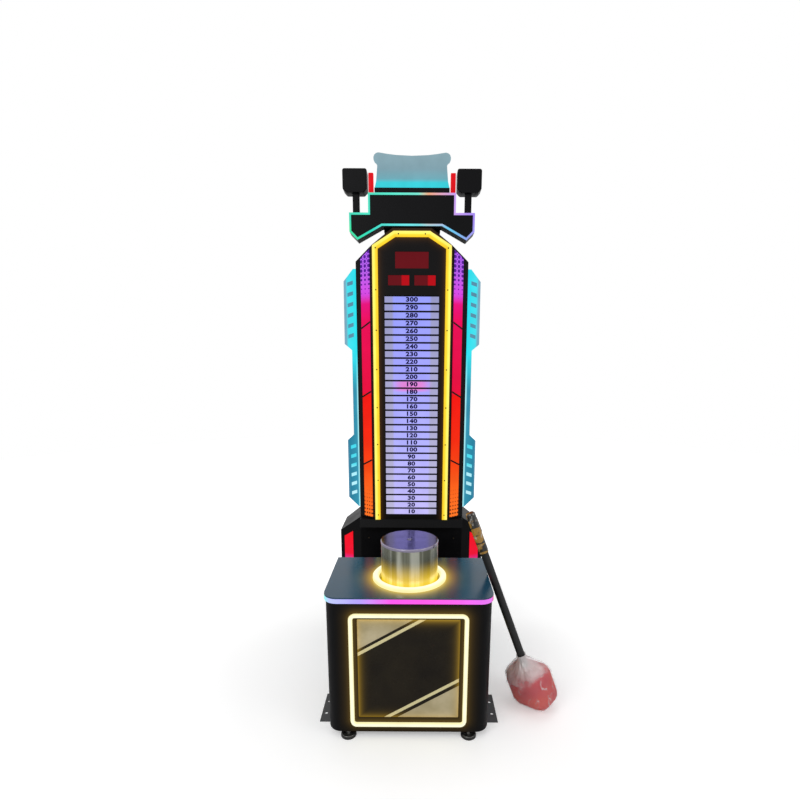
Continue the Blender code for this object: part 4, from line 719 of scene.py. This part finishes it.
def printed_dots(glow, first, step, lift, radius):
    """1 on dots whose columns stand a step apart from first, their rows raised by lift."""
    columns = glow.math("DIVIDE", glow.minus(along_facet(glow), first), step)
    off_x = glow.times(glow.minus(columns, glow.math("ROUND", columns)), step)
    rows = glow.minus(glow.math("DIVIDE", glow.z, DOT_DOWN), lift)
    off_z = glow.times(glow.minus(rows, glow.math("ROUND", rows)), DOT_DOWN)
    gap = glow.minus(radius, glow.length(off_x, off_z))
    return glow.fit(gap, 0.0, DOT_FADE)


def facet_colour(glow):
    plain = glow.ramp(glow.z, [
        (0.780, 252, 116, 34), (0.930, 248, 98, 24), (1.060, 242, 66, 13), (1.200, 240, 40, 9),
        (1.432, 237, 14, 9), (1.446, 227, 4, 58), (1.800, 228, 1, 84), (1.885, 226, 8, 122),
        (1.930, 208, 68, 219), (2.040, 188, 98, 240), (2.130, 172, 94, 238)])
    large_radius = glow.fit(glow.z, 1.880, 2.040, 0.0, LARGE_DOT)
    small_radius = glow.fit(glow.z, 1.930, 2.060, 0.0, SMALL_DOT)
    lower_radius = glow.fit(glow.z, 0.800, 1.000, LOWER_DOT, 0.0)
    large = printed_dots(glow, DOT_FIRST, DOT_ACROSS, 0.0, large_radius)
    small = printed_dots(glow, DOT_FIRST + DOT_ACROSS / 2, DOT_ACROSS, 0.5, small_radius)
    lower = printed_dots(glow, DOT_FIRST, LOW_DOT_ACROSS, 0.0, lower_radius)
    upper_ink = glow.times(glow.larger(large, small), 0.9)
    violet = glow.blend(upper_ink, plain, paint(58, 0, 128))
    brown = glow.ramp(glow.z, [(0.800, 34, 16, 10), (0.880, 110, 26, 10), (0.985, 206, 44, 12)])
    return glow.blend(glow.times(lower, 0.92), violet, brown)


give(diffuser("facet_light", facet_colour), *pair("facet_light"))


def foot_colour(glow):
    return glow.ramp(glow.z, [
        (0.120, 40, 232, 120), (0.210, 44, 226, 190), (0.300, 96, 170, 245),
        (0.400, 150, 120, 246), (0.470, 206, 60, 190), (0.540, 236, 18, 52),
        (0.690, 240, 16, 26)])


give(diffuser("foot_facet_light", foot_colour), *pair("foot_light"))

# %% [markdown]
# ## Dividers on the facet lights
# Black strips cross each lit corner on the slant and hide the joints between its acrylic
# panes. A strip lies on the pane, so it is a thin bar set square to the facet and turned in it.

# %% Facet dividers
DIVIDER_HEIGHTS = (1.782, 1.437, 1.077)
DIVIDER_RISE = 0.030
DIVIDER_WIDE = 0.0090
DIVIDER_THICK = 0.0012
FACET_FROM, FACET_TO = 0.0085, 0.0685
PANE_PROUD = 0.0043


def facet_place(side, along, up, proud):
    """A point on a tower facet, proud of the sheet, on the left (-1) or right (1)."""
    flat = FACET_START + FACET_RUN * along + Vector((FACET_RUN.y, -FACET_RUN.x)) * proud
    return at(side * flat.x, flat.y, up)


def facet_strip(shape, side, height):
    """A thin strip from a facet's front edge to its back edge, which it reaches lower down."""
    ends = ((FACET_FROM, height + DIVIDER_RISE / 2), (FACET_TO, height - DIVIDER_RISE / 2))
    corners = []
    for proud in (PANE_PROUD, PANE_PROUD + DIVIDER_THICK):
        for along, middle in ends:
            for edge in (-0.5, 0.5):
                up = middle + edge * DIVIDER_WIDE
                corners.append(shape.verts.new(facet_place(side, along, up, proud)))
    for face in ("0132", "4576", "0154", "2376", "0264", "1375"):
        shape.faces.new([corners[int(corner)] for corner in face])


divider_coat = powder_coat("divider_black", paint(18, 18, 20), 0.35)
for name, side in (("left", -1), ("right", 1)):
    strips = bmesh.new()
    for height in DIVIDER_HEIGHTS:
        facet_strip(strips, side, height)
    keep(f"facet_dividers_{name}", strips, divider_coat, "machine")

# %% [markdown]
# ## Side fins
# The fins are clear acrylic, lit from the inner edge, so they are strongest near the tower and
# grey-blue at the rim. The lower half is dimmer, with a nearly white line along the tower. Both
# halves are a ramp over the distance from the middle, blended at the height where they meet.

# %% Fins
FIN_BREAK = 1.450


def fin_colour(glow):
    away = glow.size(glow.x)
    upper = glow.ramp(away, [
        (0.283, 34, 232, 246), (0.334, 74, 226, 240), (0.343, 118, 172, 194),
        (0.354, 132, 168, 188)])
    lower = glow.ramp(away, [
        (0.283, 190, 250, 255), (0.291, 170, 246, 255), (0.297, 56, 150, 178),
        (0.340, 42, 130, 160), (0.354, 110, 150, 176)])
    return glow.blend(glow.fit(glow.z, FIN_BREAK, FIN_BREAK + 0.20), lower, upper)


give(diffuser("edge_lit_fin", fin_colour, 0.95, 0.2), *pair("side_wing"))

# %% [markdown]
# ## The glow in the fins' slots
# A strip of diodes stands behind each fin and shows through its six slanted slots: cyan at the
# top and whiter lower down on the lower fin, and a dull grey-blue on the upper one, where the
# acrylic in front of it is the brighter of the two.

# %% Strips behind the slots
FIN_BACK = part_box("side_wing_right")[1].y - FRONT
SLOT_OUT = 0.3195
SLOT_HALF = 0.0165
STRIP_HEIGHTS = ((0.866, 1.172), (1.714, 2.020))
STRIP_THICK = 0.002


def slot_colour(glow):
    return glow.ramp(glow.z, [
        (0.866, 196, 246, 255), (1.010, 176, 244, 255), (1.050, 84, 226, 242),
        (1.172, 70, 220, 238), (1.714, 96, 148, 172), (2.020, 88, 140, 166)])


slot_light = diffuser("fin_slot_light", slot_colour, 0.95, 0.25)
for name, side in (("left", -1), ("right", 1)):
    strips = bmesh.new()
    for strip_low, strip_high in STRIP_HEIGHTS:
        edges = sorted((side * (SLOT_OUT - SLOT_HALF), side * (SLOT_OUT + SLOT_HALF)))
        add_bar(strips, at(edges[0], FIN_BACK + 0.0002, strip_low),
                at(edges[1], FIN_BACK + 0.0002 + STRIP_THICK, strip_high), 0.0004)
    keep(f"fin_slot_light_{name}", strips, slot_light, "machine")

# %% [markdown]
# ## Header outline and marquee
# The outline round the header runs from mint on one side through peach at the top to lilac on
# the other, and is paler along the bottom. The marquee is a slab of grey-blue acrylic with a
# light bar behind its lower edge.

# %% Header and marquee


def outline_colour(glow):
    upper = glow.ramp(glow.x, [
        (-0.303, 70, 216, 184), (-0.100, 90, 226, 200), (0.030, 120, 226, 206),
        (0.080, 240, 170, 130), (0.205, 198, 158, 236), (0.303, 158, 132, 236)])
    lower = glow.ramp(glow.x, [
        (-0.303, 64, 226, 160), (-0.200, 48, 214, 186), (-0.060, 104, 224, 236),
        (0.060, 120, 222, 240), (0.200, 110, 196, 238), (0.303, 160, 146, 236)])
    return glow.blend(glow.fit(glow.z, 2.235, 2.275), lower, upper)


give(diffuser("header_outline_light", outline_colour), "header_light")

marquee_low, marquee_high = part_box("marquee")


def marquee_colour(glow):
    return glow.ramp(glow.z, [
        (2.400, 54, 220, 232), (2.440, 64, 216, 228), (2.456, 116, 178, 192),
        (2.500, 134, 168, 180), (2.570, 146, 176, 186)], marquee_low.z, marquee_high.z)


give(diffuser("marquee_acrylic", marquee_colour, 0.85, 0.22), "marquee")

# %% [markdown]
# ## Side lights of the base
# Each carrier plate is black, with a cyan bar above two yellow ones. One finish serves the whole
# solid: heights pick the colour, and the carrier between the bars stays dark.

# %% Side light bars
CARRIER_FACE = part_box("side_lights_right")[0].x + 0.0022 - MIDDLE


def bar_colour(glow):
    return glow.ramp(glow.z, [
        (0.256, 250, 200, 44), (0.345, 252, 214, 60), (0.352, 60, 216, 214),
        (0.401, 70, 214, 226)])


side_bars = Finish("base_side_light", BLACK, 0.3, gloss=0.3)
raised = side_bars.fit(side_bars.size(side_bars.x), CARRIER_FACE, CARRIER_FACE + 0.0006)
side_bars.light(side_bars.blend(raised, DARK, bar_colour(side_bars)), 1.0)
side_bars.body_blend(raised, BLACK, paint(60, 66, 60))
side_bars.wear(0.32, 0.06)
side_bars.bump(side_bars.speckle(600, 2.0), 0.12, 0.0002)
give(side_bars, *pair("side_lights"))

# %% [markdown]
# ## Score scale
# Thirty lit bars climb the tower behind a dark grid, one for every ten points. Each is a clear
# lilac block with broken edges, greyer at its ends where the diodes thin out. One bar glows
# pink: that is the score of the last blow.

# %% Score bars
SCALE_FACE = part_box("score_scale")[0].y - FRONT
SCALE_HALF = 0.1355
SCALE_FOOT, SCALE_TOP = 0.789, 1.924
BAR_COUNT = 30
BAR_PITCH = (SCALE_TOP - SCALE_FOOT) / BAR_COUNT
BAR_TALL = 0.0290
BAR_PROUD = 0.0020
LAST_SCORE = 19

grid_coat = powder_coat("score_grid_black", paint(8, 7, 18), 0.4)
give(grid_coat, "score_scale")


def bar_middle(count):
    return SCALE_FOOT + (count - 0.5) * BAR_PITCH


def score_colour(glow):
    ends = glow.fit(glow.size(glow.x), 0.086, 0.101, smooth=True)
    climb = glow.ramp(glow.z, [
        (SCALE_FOOT, 196, 188, 250), (1.2, 176, 176, 255), (1.5, 164, 164, 255),
        (SCALE_TOP, 150, 158, 252)])
    grey = glow.ramp(glow.z, [(SCALE_FOOT, 186, 182, 216), (SCALE_TOP, 150, 152, 196)])
    plain = glow.blend(ends, climb, grey)
    off = glow.apart(glow.z, bar_middle(LAST_SCORE) - 0.008)
    from_middle = glow.size(glow.x)
    pink = glow.times(glow.fit(off, 0.016, 0.036, 1.0, 0.0, smooth=True),
                     glow.fit(from_middle, 0.040, 0.116, 1.0, 0.0, smooth=True))
    return glow.blend(glow.times(pink, 0.80), plain, paint(236, 124, 204))


score_light = diffuser("score_bar_light", score_colour, 0.98, 0.25)
bars = bmesh.new()
for count in range(1, BAR_COUNT + 1):
    middle = bar_middle(count)
    low = at(-SCALE_HALF, SCALE_FACE - BAR_PROUD, middle - BAR_TALL / 2)
    high = at(SCALE_HALF, SCALE_FACE - 0.0001, middle + BAR_TALL / 2)
    add_bar(bars, low, high, 0.0007)
keep("score_bars", bars, score_light, "machine")

# %% [markdown]
# ## Score numbers
# The numbers are printed on the bars. Blender's own font is drawn as a curve, given a hair of
# thickness and turned into a mesh; all thirty are joined into one piece.

# %% Score numbers
NUMBER_TALL = 0.0205
NUMBER_WIDEN = 1.30
NUMBER_THICK = 0.0002

ink = Finish("score_number_ink", paint(24, 20, 84), 0.45, gloss=0.1)
ink.body_blend(ink.speckle(300, 3.0), paint(14, 10, 60), paint(24, 20, 80))
ink.wear(0.45, 0.08, 60)


def add_number(shape, value, middle):
    text = bpy.data.curves.new("number", "FONT")
    text.body = str(value)
    text.size = NUMBER_TALL / 0.70
    text.align_x = "CENTER"
    text.align_y = "CENTER"
    text.offset = 0.0014
    text.space_character = 1.08
    text.extrude = NUMBER_THICK
    text.resolution_u = 3
    letter = bpy.data.objects.new("number", text)
    link(letter)
    drawn = letter.evaluated_get(bpy.context.evaluated_depsgraph_get())
    flat = bpy.data.meshes.new_from_object(drawn)
    stand = at(0, SCALE_FACE - BAR_PROUD - NUMBER_THICK, middle)
    upright = Matrix.Rotation(math.pi / 2, 4, "X") @ Matrix.Diagonal((NUMBER_WIDEN, 1, 1, 1))
    flat.transform(Matrix.Translation(stand) @ upright)
    shape.from_mesh(flat)
    bpy.data.objects.remove(letter)
    bpy.data.curves.remove(text)
    bpy.data.meshes.remove(flat)


numbers = bmesh.new()
for count in range(1, BAR_COUNT + 1):
    add_number(numbers, 10 * count, bar_middle(count))
keep("score_numbers", numbers, ink, "machine")

# %% [markdown]
# ## Displays
# Three windows of dark red acrylic stand over the scale. Behind each are seven-segment digits.
# Only the last digit of each small window is lit, and it floods its third of the window; the
# other digits are dark, and the acrylic in front of them shows nothing but its own red.

# %% Display windows
SMALL_FROM, SMALL_TO = 0.013, 0.117
SMALL_HIGH = 2.019

window = Finish("display_window", paint(70, 8, 14), 0.16, gloss=0.06)
window.wear(0.16, 0.04, 12)
window_red = window.blend(window.speckle(10, 2.0), paint(92, 8, 16), paint(106, 12, 22))
width = SMALL_TO - SMALL_FROM
right_place = window.math("DIVIDE", window.minus(window.x, SMALL_FROM), width)
left_place = window.math("DIVIDE", window.plus(window.x, SMALL_TO), width)
is_right = window.math("GREATER_THAN", window.x, 0.0)
place = window.plus(window.times(is_right, right_place),
                    window.times(window.minus(1.0, is_right), left_place))
last_digit = window.fit(place, 0.60, 0.68, smooth=True)
in_small = window.math("LESS_THAN", window.z, SMALL_HIGH + 0.004)
flood = window.times(last_digit, in_small)
window.light(window.blend(flood, window_red, paint(180, 4, 18)), 0.9)
window.body_blend(flood, paint(40, 5, 8), paint(80, 4, 8))
give(window, "display_module")

# %% [markdown]
# ## Art panel
# The base's front panel is printed: gold cloud in two corners, a broad black band between them,
# and a thin light stripe beside each gold corner. All its edges run on one slant, so one number,
# the distance across the slant, picks the colour. No words are printed on this one.

# %% Printed art panel
WINDOW_HALF_X = 0.213
WINDOW_FROM, WINDOW_TO = 0.106, 0.565
SLANT = 1.83
CORNERS_AT = (0.555, 2.222)
STRIPES_AT = ((0.612, 0.676), (2.085, 2.150))

art = Finish("printed_art_panel", paint(30, 28, 26), 0.3, gloss=0.10)
across = art.math("DIVIDE", art.plus(art.x, WINDOW_HALF_X), 2 * WINDOW_HALF_X)
down = art.math("DIVIDE", art.minus(WINDOW_TO, art.z), WINDOW_TO - WINDOW_FROM)
slant = art.plus(across, art.times(down, SLANT))
clouds = art.fit(art.speckle(9, 3.0), 0.3, 0.7)
gold = art.blend(clouds, paint(150, 138, 104), paint(184, 172, 140))
near_black = art.blend(clouds, paint(24, 20, 15), paint(34, 29, 20))
stripe = paint(206, 196, 150)
corner = art.larger(art.math("LESS_THAN", slant, CORNERS_AT[0]),
                    art.math("GREATER_THAN", slant, CORNERS_AT[1]))


def stripe_between(low, high):
    return art.times(art.math("GREATER_THAN", slant, low), art.math("LESS_THAN", slant, high))


lines = art.larger(*(stripe_between(*edges) for edges in STRIPES_AT))
printed = art.blend(lines, art.blend(corner, near_black, gold), stripe)
art.body(printed)
art.wear(0.3, 0.06, 14)
art.bump(art.speckle(380, 2.0), 0.08, 0.0002)
# The panel gives off a faint glow in its own print colours that turns gold near the tube: painted
# light from the tube round the window, falling away by a factor of e over 11 mm.
panel_far = distance_to_frame(art, TUBE_MIDDLE_Z, TUBE_HALF_X, TUBE_HALF_Z, TUBE_CORNER)
from_edge = art.larger(art.minus(panel_far, 0.022), 0.0)
painted_tube_glow = art.math("EXPONENT", art.times(from_edge, -1 / 0.011))
art.light(art.blend(painted_tube_glow, art.blend(0.80, printed, DARK), paint(222, 176, 50)), 0.55)
give(art, "front_panel")

# %% [markdown]
# ## Circuit board
# The board inside the tower is seen only with the rear door open. Its solder mask is green, with
# the darker copper pour showing through in blocks, and its chips are black: they stand proud of
# the board, so their distance from the wall tells them apart.

# %% Circuit board
CHIP_TALL, BOARD_THICK = 0.008, 0.002
BOARD_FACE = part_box("control_board")[1].x - CHIP_TALL - BOARD_THICK - MIDDLE
board = Finish("circuit_board", paint(18, 84, 48), 0.4, gloss=0.5)
on_board = board.add("ShaderNodeMapping", {
    "Vector": board.position, "Rotation": (0, math.pi / 2, 0)}).outputs[0]
copper = board.add("ShaderNodeTexBrick", {
    "Vector": on_board, "Scale": 26.0, "Color1": paint(16, 92, 50),
    "Color2": paint(24, 112, 62), "Mortar": paint(10, 58, 34)})
is_board = board.fit(board.x, BOARD_FACE - 0.0012, BOARD_FACE - 0.0004)
board.body_blend(is_board, paint(24, 24, 26), copper.outputs["Color"])
board.wear(0.42, 0.08, 60)
board.bump(board.speckle(500, 2.0), 0.2, 0.0002)
give(board, "control_board")

# %% [markdown]
# ## Screws
# Small domed screws hold the border light, the base's sides and the service flap. All of one
# group are one mesh, because they never move apart, and the flap's screws ride on the flap.

# %% Screws and the blank plate
screw_steel = zinc_plate("blackened_screw_steel", paint(60, 52, 40))
BORDER_SCREW = 0.0036
CASE_SCREW = 0.0045
border_front = border_low.y - FRONT
border_screws = bmesh.new()
screw_places = [(0.1778, 0.790 + 0.1933 * row) for row in range(8)] + [(0.065, 2.2065)]
for out, up in screw_places:
    for side in (-1, 1):
        place = at(side * out, border_front, up)
        add_screw(border_screws, place, TOWARDS_PLAYER, BORDER_SCREW)
keep("border_screws", border_screws, screw_steel, "machine")

casing_low, casing_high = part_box("base_casing")
side_screws = bmesh.new()
for back in (0.110, 0.230, 0.350):
    for face, way in ((casing_low.x, -1), (casing_high.x, 1)):
        place = Vector((face, FRONT + back, 0.620))
        add_screw(side_screws, place, Vector((way, 0, 0)), CASE_SCREW)
keep("base_side_screws", side_screws, screw_steel, "machine")

FLAP_FRONT = 0.7667
flap_screws = bmesh.new()
for side in (-0.235, -0.091, 0.091, 0.235):
    for up in (0.496, 0.644):
        add_screw(flap_screws, at(side, FLAP_FRONT, up), TOWARDS_PLAYER, CASE_SCREW)
keep("foot_door_screws", flap_screws, screw_steel, "foot_door")

plate_paint = powder_coat("blank_plate_paint", paint(206, 206, 202), 0.4)
blank = bmesh.new()
add_bar(blank, at(-0.050, FLAP_FRONT - 0.0008, 0.524),
        at(0.050, FLAP_FRONT - 0.00005, 0.583), 0.0003)
keep("blank_label_plate", blank, plate_paint, "foot_door")

# %% [markdown]
# ## Mallet
# The handle is a black sleeved tube. The grip wears a crinkled black wrap with gold patches,
# and pale painted highlights run along its creases: noise at three sizes draws them, and a
# slanted wave along the handle makes the patches drift round it. The head is red foam rubber,
# more orange where it has faded.

# %% Handle, grip and head
head_low, head_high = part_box("mallet_head")
HANDLE_LEAN = math.radians(20.5)
DOWN_HANDLE = Vector((math.sin(HANDLE_LEAN), 0, -math.cos(HANDLE_LEAN)))

give(rubber("handle_sleeve", paint(22, 22, 23), 0.5), "mallet_handle")

tape = Finish("grip_tape", paint(60, 50, 30), 0.3, gloss=0.6)
along = tape.plus(tape.times(tape.x, -DOWN_HANDLE.x), tape.times(tape.z, -DOWN_HANDLE.z))
wound = tape.math("FRACT", tape.plus(tape.times(along, 26.0), tape.times(tape.y, 9.0)))
crinkle = tape.speckle(130, 4.0, (1.0, 1.0, 0.35))
rubbed = tape.speckle(18, 2.0)
uneven = tape.plus(tape.times(wound, 0.22), tape.times(rubbed, 1.0))
band = tape.fit(uneven, 0.60, 0.68)
# Pale lines along the wrap's creases are painted highlights.
painted_crease_highlights = tape.fit(tape.speckle(75, 3.0, (1.0, 1.0, 0.5)), 0.60, 0.66)
sleeve = tape.blend(band, paint(26, 24, 21), paint(158, 118, 44))
tape.body_blend(tape.times(painted_crease_highlights, 0.6), sleeve, paint(196, 192, 184))
tape.rough(tape.fit(crinkle, 0.3, 0.7, 0.12, 0.36))
tape.bump(crinkle, 0.5, 0.0012)
give(tape, "mallet_grip")

foam = Finish("red_foam_rubber", paint(196, 48, 58), 0.5, gloss=0.2)
mottle = foam.wear(0.48, 0.1, 22)
sunned = foam.fit(foam.speckle(7, 2.0), 0.38, 0.64, smooth=True)
red = foam.blend(sunned, paint(184, 34, 52), paint(206, 62, 44))
foam.body_blend(foam.times(mottle, 0.35), red, paint(222, 84, 88))
foam.bump(foam.speckle(240, 3.0), 0.25, 0.0006)
give(foam, "mallet_head")

# %% [markdown]
# ## Film round the head
# A clear bag is pulled over the head and gathered where the handle goes in. It is drawn by
# asking, in each direction from the middle of the head, how far out the head reaches, and
# laying the film a little further. Near the handle it hangs like a tent from its gathered neck
# to the head's shoulders. Folds start at the neck and run down, so their noise is fine round
# the handle and slow along it.

# %% Film
FILM_GAP = 0.004
FILM_ROUND = 96
FILM_DOWN = 56
NECK_RADIUS = 0.030
NECK_UP = 0.132
SHOULDER_RADIUS = 0.098
SHOULDER_UP = 0.050
NECK_LONG = 0.030
NECK_END_RADIUS = 0.023
FOLD_DEEP = 0.006
PLEAT_DEEP = 0.0035
NECK_DOWN = 12
WELL_OUTSIDE = 0.5
ABOVE_FLOOR = 0.0004

centre = (head_low + head_high) / 2
HEAD_TALL = 0.205
up_handle = -DOWN_HANDLE
side_way = up_handle.cross(Vector((0, 1, 0))).normalized()
other_way = up_handle.cross(side_way).normalized()
head_shape = bmesh.new()
head_shape.from_mesh(nodes["mallet_head"].data)
bmesh.ops.convex_hull(head_shape, input=head_shape.verts)
head_surface = BVHTree.FromBMesh(head_shape)


def head_reach(direction):
    """How far the head reaches from its middle in a direction."""
    hit = head_surface.ray_cast(centre + direction * WELL_OUTSIDE, -direction)
    return WELL_OUTSIDE - hit[3]


TENT_FALL = (SHOULDER_UP - NECK_UP) / (SHOULDER_RADIUS - NECK_RADIUS)


def tent_reach(tilt):
    """How far out the tent lies, whose cone runs from the neck to the shoulders."""
    steep = math.cos(tilt) - TENT_FALL * math.sin(tilt)
    if tilt > math.pi / 2 or steep < 0.2:
        return 0.0
    return (NECK_UP - TENT_FALL * NECK_RADIUS) / steep


def around_handle(turn):
    return side_way * math.cos(turn) + other_way * math.sin(turn)


def noise_round(turn, fine, down):
    """Noise read on a circle round the handle, so that it joins up; fine sets its folds."""
    return noise.noise(Vector((fine * math.cos(turn), fine * math.sin(turn), down)))


def film_point(turn, tilt):
    """A point of the film: turn is round the handle, tilt is down from it."""
    direction = (up_handle * math.cos(tilt) + around_handle(turn) * math.sin(tilt)).normalized()
    over_head = head_reach(direction) + FILM_GAP
    tent = tent_reach(tilt) if tilt < math.atan2(SHOULDER_RADIUS, SHOULDER_UP) else 0.0
    reach = max(over_head, tent)
    fold = noise_round(turn, 5.2, 1.4 * tilt)
    fine = noise_round(turn, 13, 3.2 * tilt + 7)
    crease = (1 - abs(fold) * 2) ** 2 * 0.7 + (1 - abs(fine) * 2) ** 2 * 0.3
    return centre + direction * (reach + FOLD_DEEP * crease)


# %% [markdown]
# ## The film's rings
# The film is a stack of rings from the neck down, each one joined to the next by square faces.
# The neck's rings are put in front of the first one and narrow towards the handle in pleats.

# %% Rings and faces
TILT_NECK = math.atan2(NECK_RADIUS, NECK_UP)
TURNS = [2 * math.pi * step / FILM_ROUND for step in range(FILM_ROUND)]
film = bmesh.new()
rings = []
for row in range(FILM_DOWN + 1):
    tilt = TILT_NECK + (math.pi - TILT_NECK) * row / FILM_DOWN
    rings.append([film.verts.new(film_point(turn, tilt)) for turn in TURNS])
shoulder = [vert.co.copy() for vert in rings[0]]
neck_base = sum(((point - centre).dot(up_handle) for point in shoulder)) / FILM_ROUND
for row in range(1, NECK_DOWN + 1):
    share = row / NECK_DOWN
    ring = []
    for turn, point in zip(TURNS, shoulder):
        pleat = PLEAT_DEEP * share * noise_round(turn, 9, 2.0)
        height = neck_base + NECK_LONG * share ** 1.3
        radius_from = (point - centre - up_handle * (point - centre).dot(up_handle)).length
        radius = radius_from + (NECK_END_RADIUS - radius_from) * (1 - (1 - share) ** 2.2) + pleat
        ring.append(film.verts.new(centre + up_handle * height + around_handle(turn) * radius))
    rings.insert(0, ring)
for above, below in zip(rings, rings[1:]):
    for step in range(FILM_ROUND):
        after = (step + 1) % FILM_ROUND
        film.faces.new((above[step], above[after], below[after], below[step]))
bmesh.ops.smooth_vert(film, verts=film.verts, factor=0.5,
                      use_axis_x=True, use_axis_y=True, use_axis_z=True)
for vert in film.verts:
    vert.co.z = max(vert.co.z, ABOVE_FLOOR)
for face in film.faces:
    face.smooth = True

# %% [markdown]
# ## The film's finish
# Clear film is seen by its creases and where it lies in many layers. So its Alpha is low over
# the head, a little higher along thin wandering lines, and high towards the gathered neck.

# %% Clear film
bag = Finish("clear_film", paint(244, 236, 236), 0.18, gloss=0.6)
height = bag.plus(bag.times(bag.minus(bag.x, centre.x - MIDDLE), up_handle.x),
                  bag.times(bag.minus(bag.z, centre.z), up_handle.z))
wander = bag.apart(bag.speckle(22, 2.0, (1.0, 1.0, 0.30)), 0.5)
faint = bag.fit(bag.speckle(14, 2.0), 0.40, 0.62)
lines = bag.times(bag.fit(wander, 0.0, 0.022, 0.55, 0.0, smooth=True), faint)
ragged = bag.plus(height, bag.fit(bag.speckle(13, 3.0), 0.3, 0.7, -0.035, 0.035))
gathered = bag.fit(ragged, HEAD_TALL * 0.12, HEAD_TALL * 0.62, 0.0, 0.62, smooth=True)
veil = bag.larger(bag.larger(lines, gathered), 0.10)
bag.plug(bag.skin.inputs["Alpha"], veil)
bag.wear(0.16, 0.06, 40)
bag.bump(bag.speckle(60, 4.0), 0.35, 0.002)
film_area = sum(face.calc_area() for face in film.faces)
film_piece = keep("mallet_head_film", film, bag, "mallet")
head_shape.free()
print("film area", round(film_area, 4))

# %% [markdown]
# ## Studio floor
# The machine stands on a pale matt floor that keeps its shadow. Away from the machine the floor
# glows a little for the camera only, so that it fades to the white of the sky.

# %% Floor
FLOOR_RADIUS = 9.0
floor_shape = bmesh.new()
bmesh.ops.create_circle(floor_shape, cap_ends=True, radius=FLOOR_RADIUS, segments=64)
floor_mesh = bpy.data.meshes.new("studio_floor")
floor_shape.to_mesh(floor_mesh)
floor_shape.free()
floor = bpy.data.objects.new("studio_floor", floor_mesh)
link(floor)

pale = Finish("studio_floor_paint", (0.86, 0.86, 0.86, 1.0), 0.9, gloss=0.1)
pale.body_blend(pale.speckle(3.0), (0.84, 0.84, 0.84, 1), (0.88, 0.88, 0.88, 1))
seen = pale.add("ShaderNodeLightPath").outputs["Is Camera Ray"]
pale.light(WHITE, 0.0)
whiter_far = pale.fit(pale.length(pale.x, pale.y), 0.6, 3.2, 0.33, 0.80, smooth=True)
pale.plug(pale.skin.inputs["Emission Strength"], pale.times(seen, whiter_far))
floor_mesh.materials.append(pale.material)
print("floor radius", FLOOR_RADIUS)

# %% [markdown]
# ## Sky
# An even sky lights every side. It is white where the camera, metal or glass looks at it, and
# half as strong where it only lights the machine, which keeps the black coat black.

# %% Sky
SKY_LEVEL = 0.5
sky = bpy.data.worlds.new("studio_sky")
sky.use_nodes = True
bpy.context.scene.world = sky
tree = sky.node_tree
air = tree.nodes["Background"]
air.inputs["Color"].default_value = WHITE
path = tree.nodes.new("ShaderNodeLightPath")
shows, also = (tree.nodes.new("ShaderNodeMath") for _ in range(2))
shows.operation = also.operation = "MAXIMUM"
level = tree.nodes.new("ShaderNodeMapRange")
level.inputs["To Min"].default_value = SKY_LEVEL
for source, target in (
        (path.outputs["Is Camera Ray"], shows.inputs[0]),
        (path.outputs["Is Transmission Ray"], shows.inputs[1]),
        (shows.outputs[0], also.inputs[0]),
        (path.outputs["Is Glossy Ray"], also.inputs[1]),
        (also.outputs[0], level.inputs["Value"]),
        (level.outputs[0], air.inputs["Strength"])):
    tree.links.new(source, target)
print("sky level", SKY_LEVEL)

# %% [markdown]
# ## Lamps
# Three round lamps give the machine its form: a large one at the left, a weaker one at the
# right and one above. Large lamps cast soft shadows.

# %% Lamps


def lamp(name, place, aim, size, power):
    data = bpy.data.lights.new(name, "AREA")
    data.shape = "DISK"
    data.size = size
    data.energy = power
    made = bpy.data.objects.new(name, data)
    link(made)
    made.location = place
    made.rotation_euler = (aim - place).to_track_quat("-Z", "Y").to_euler()
    print(name, power, "watts")


CHEST = Vector((0, 0, 1.2))
lamp("soft_key", Vector((-2.2, -3.2, 3.4)), CHEST, 2.4, 62)
lamp("soft_fill", Vector((2.8, -2.2, 2.4)), CHEST, 1.8, 22)
lamp("soft_top", Vector((0.0, 0.4, 4.6)), CHEST, 2.2, 24)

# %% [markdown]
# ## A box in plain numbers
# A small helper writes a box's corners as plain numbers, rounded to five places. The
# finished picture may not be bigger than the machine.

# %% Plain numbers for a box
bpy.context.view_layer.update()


def plain(box):
    return [[round(float(part), 5) for part in corner] for corner in box]
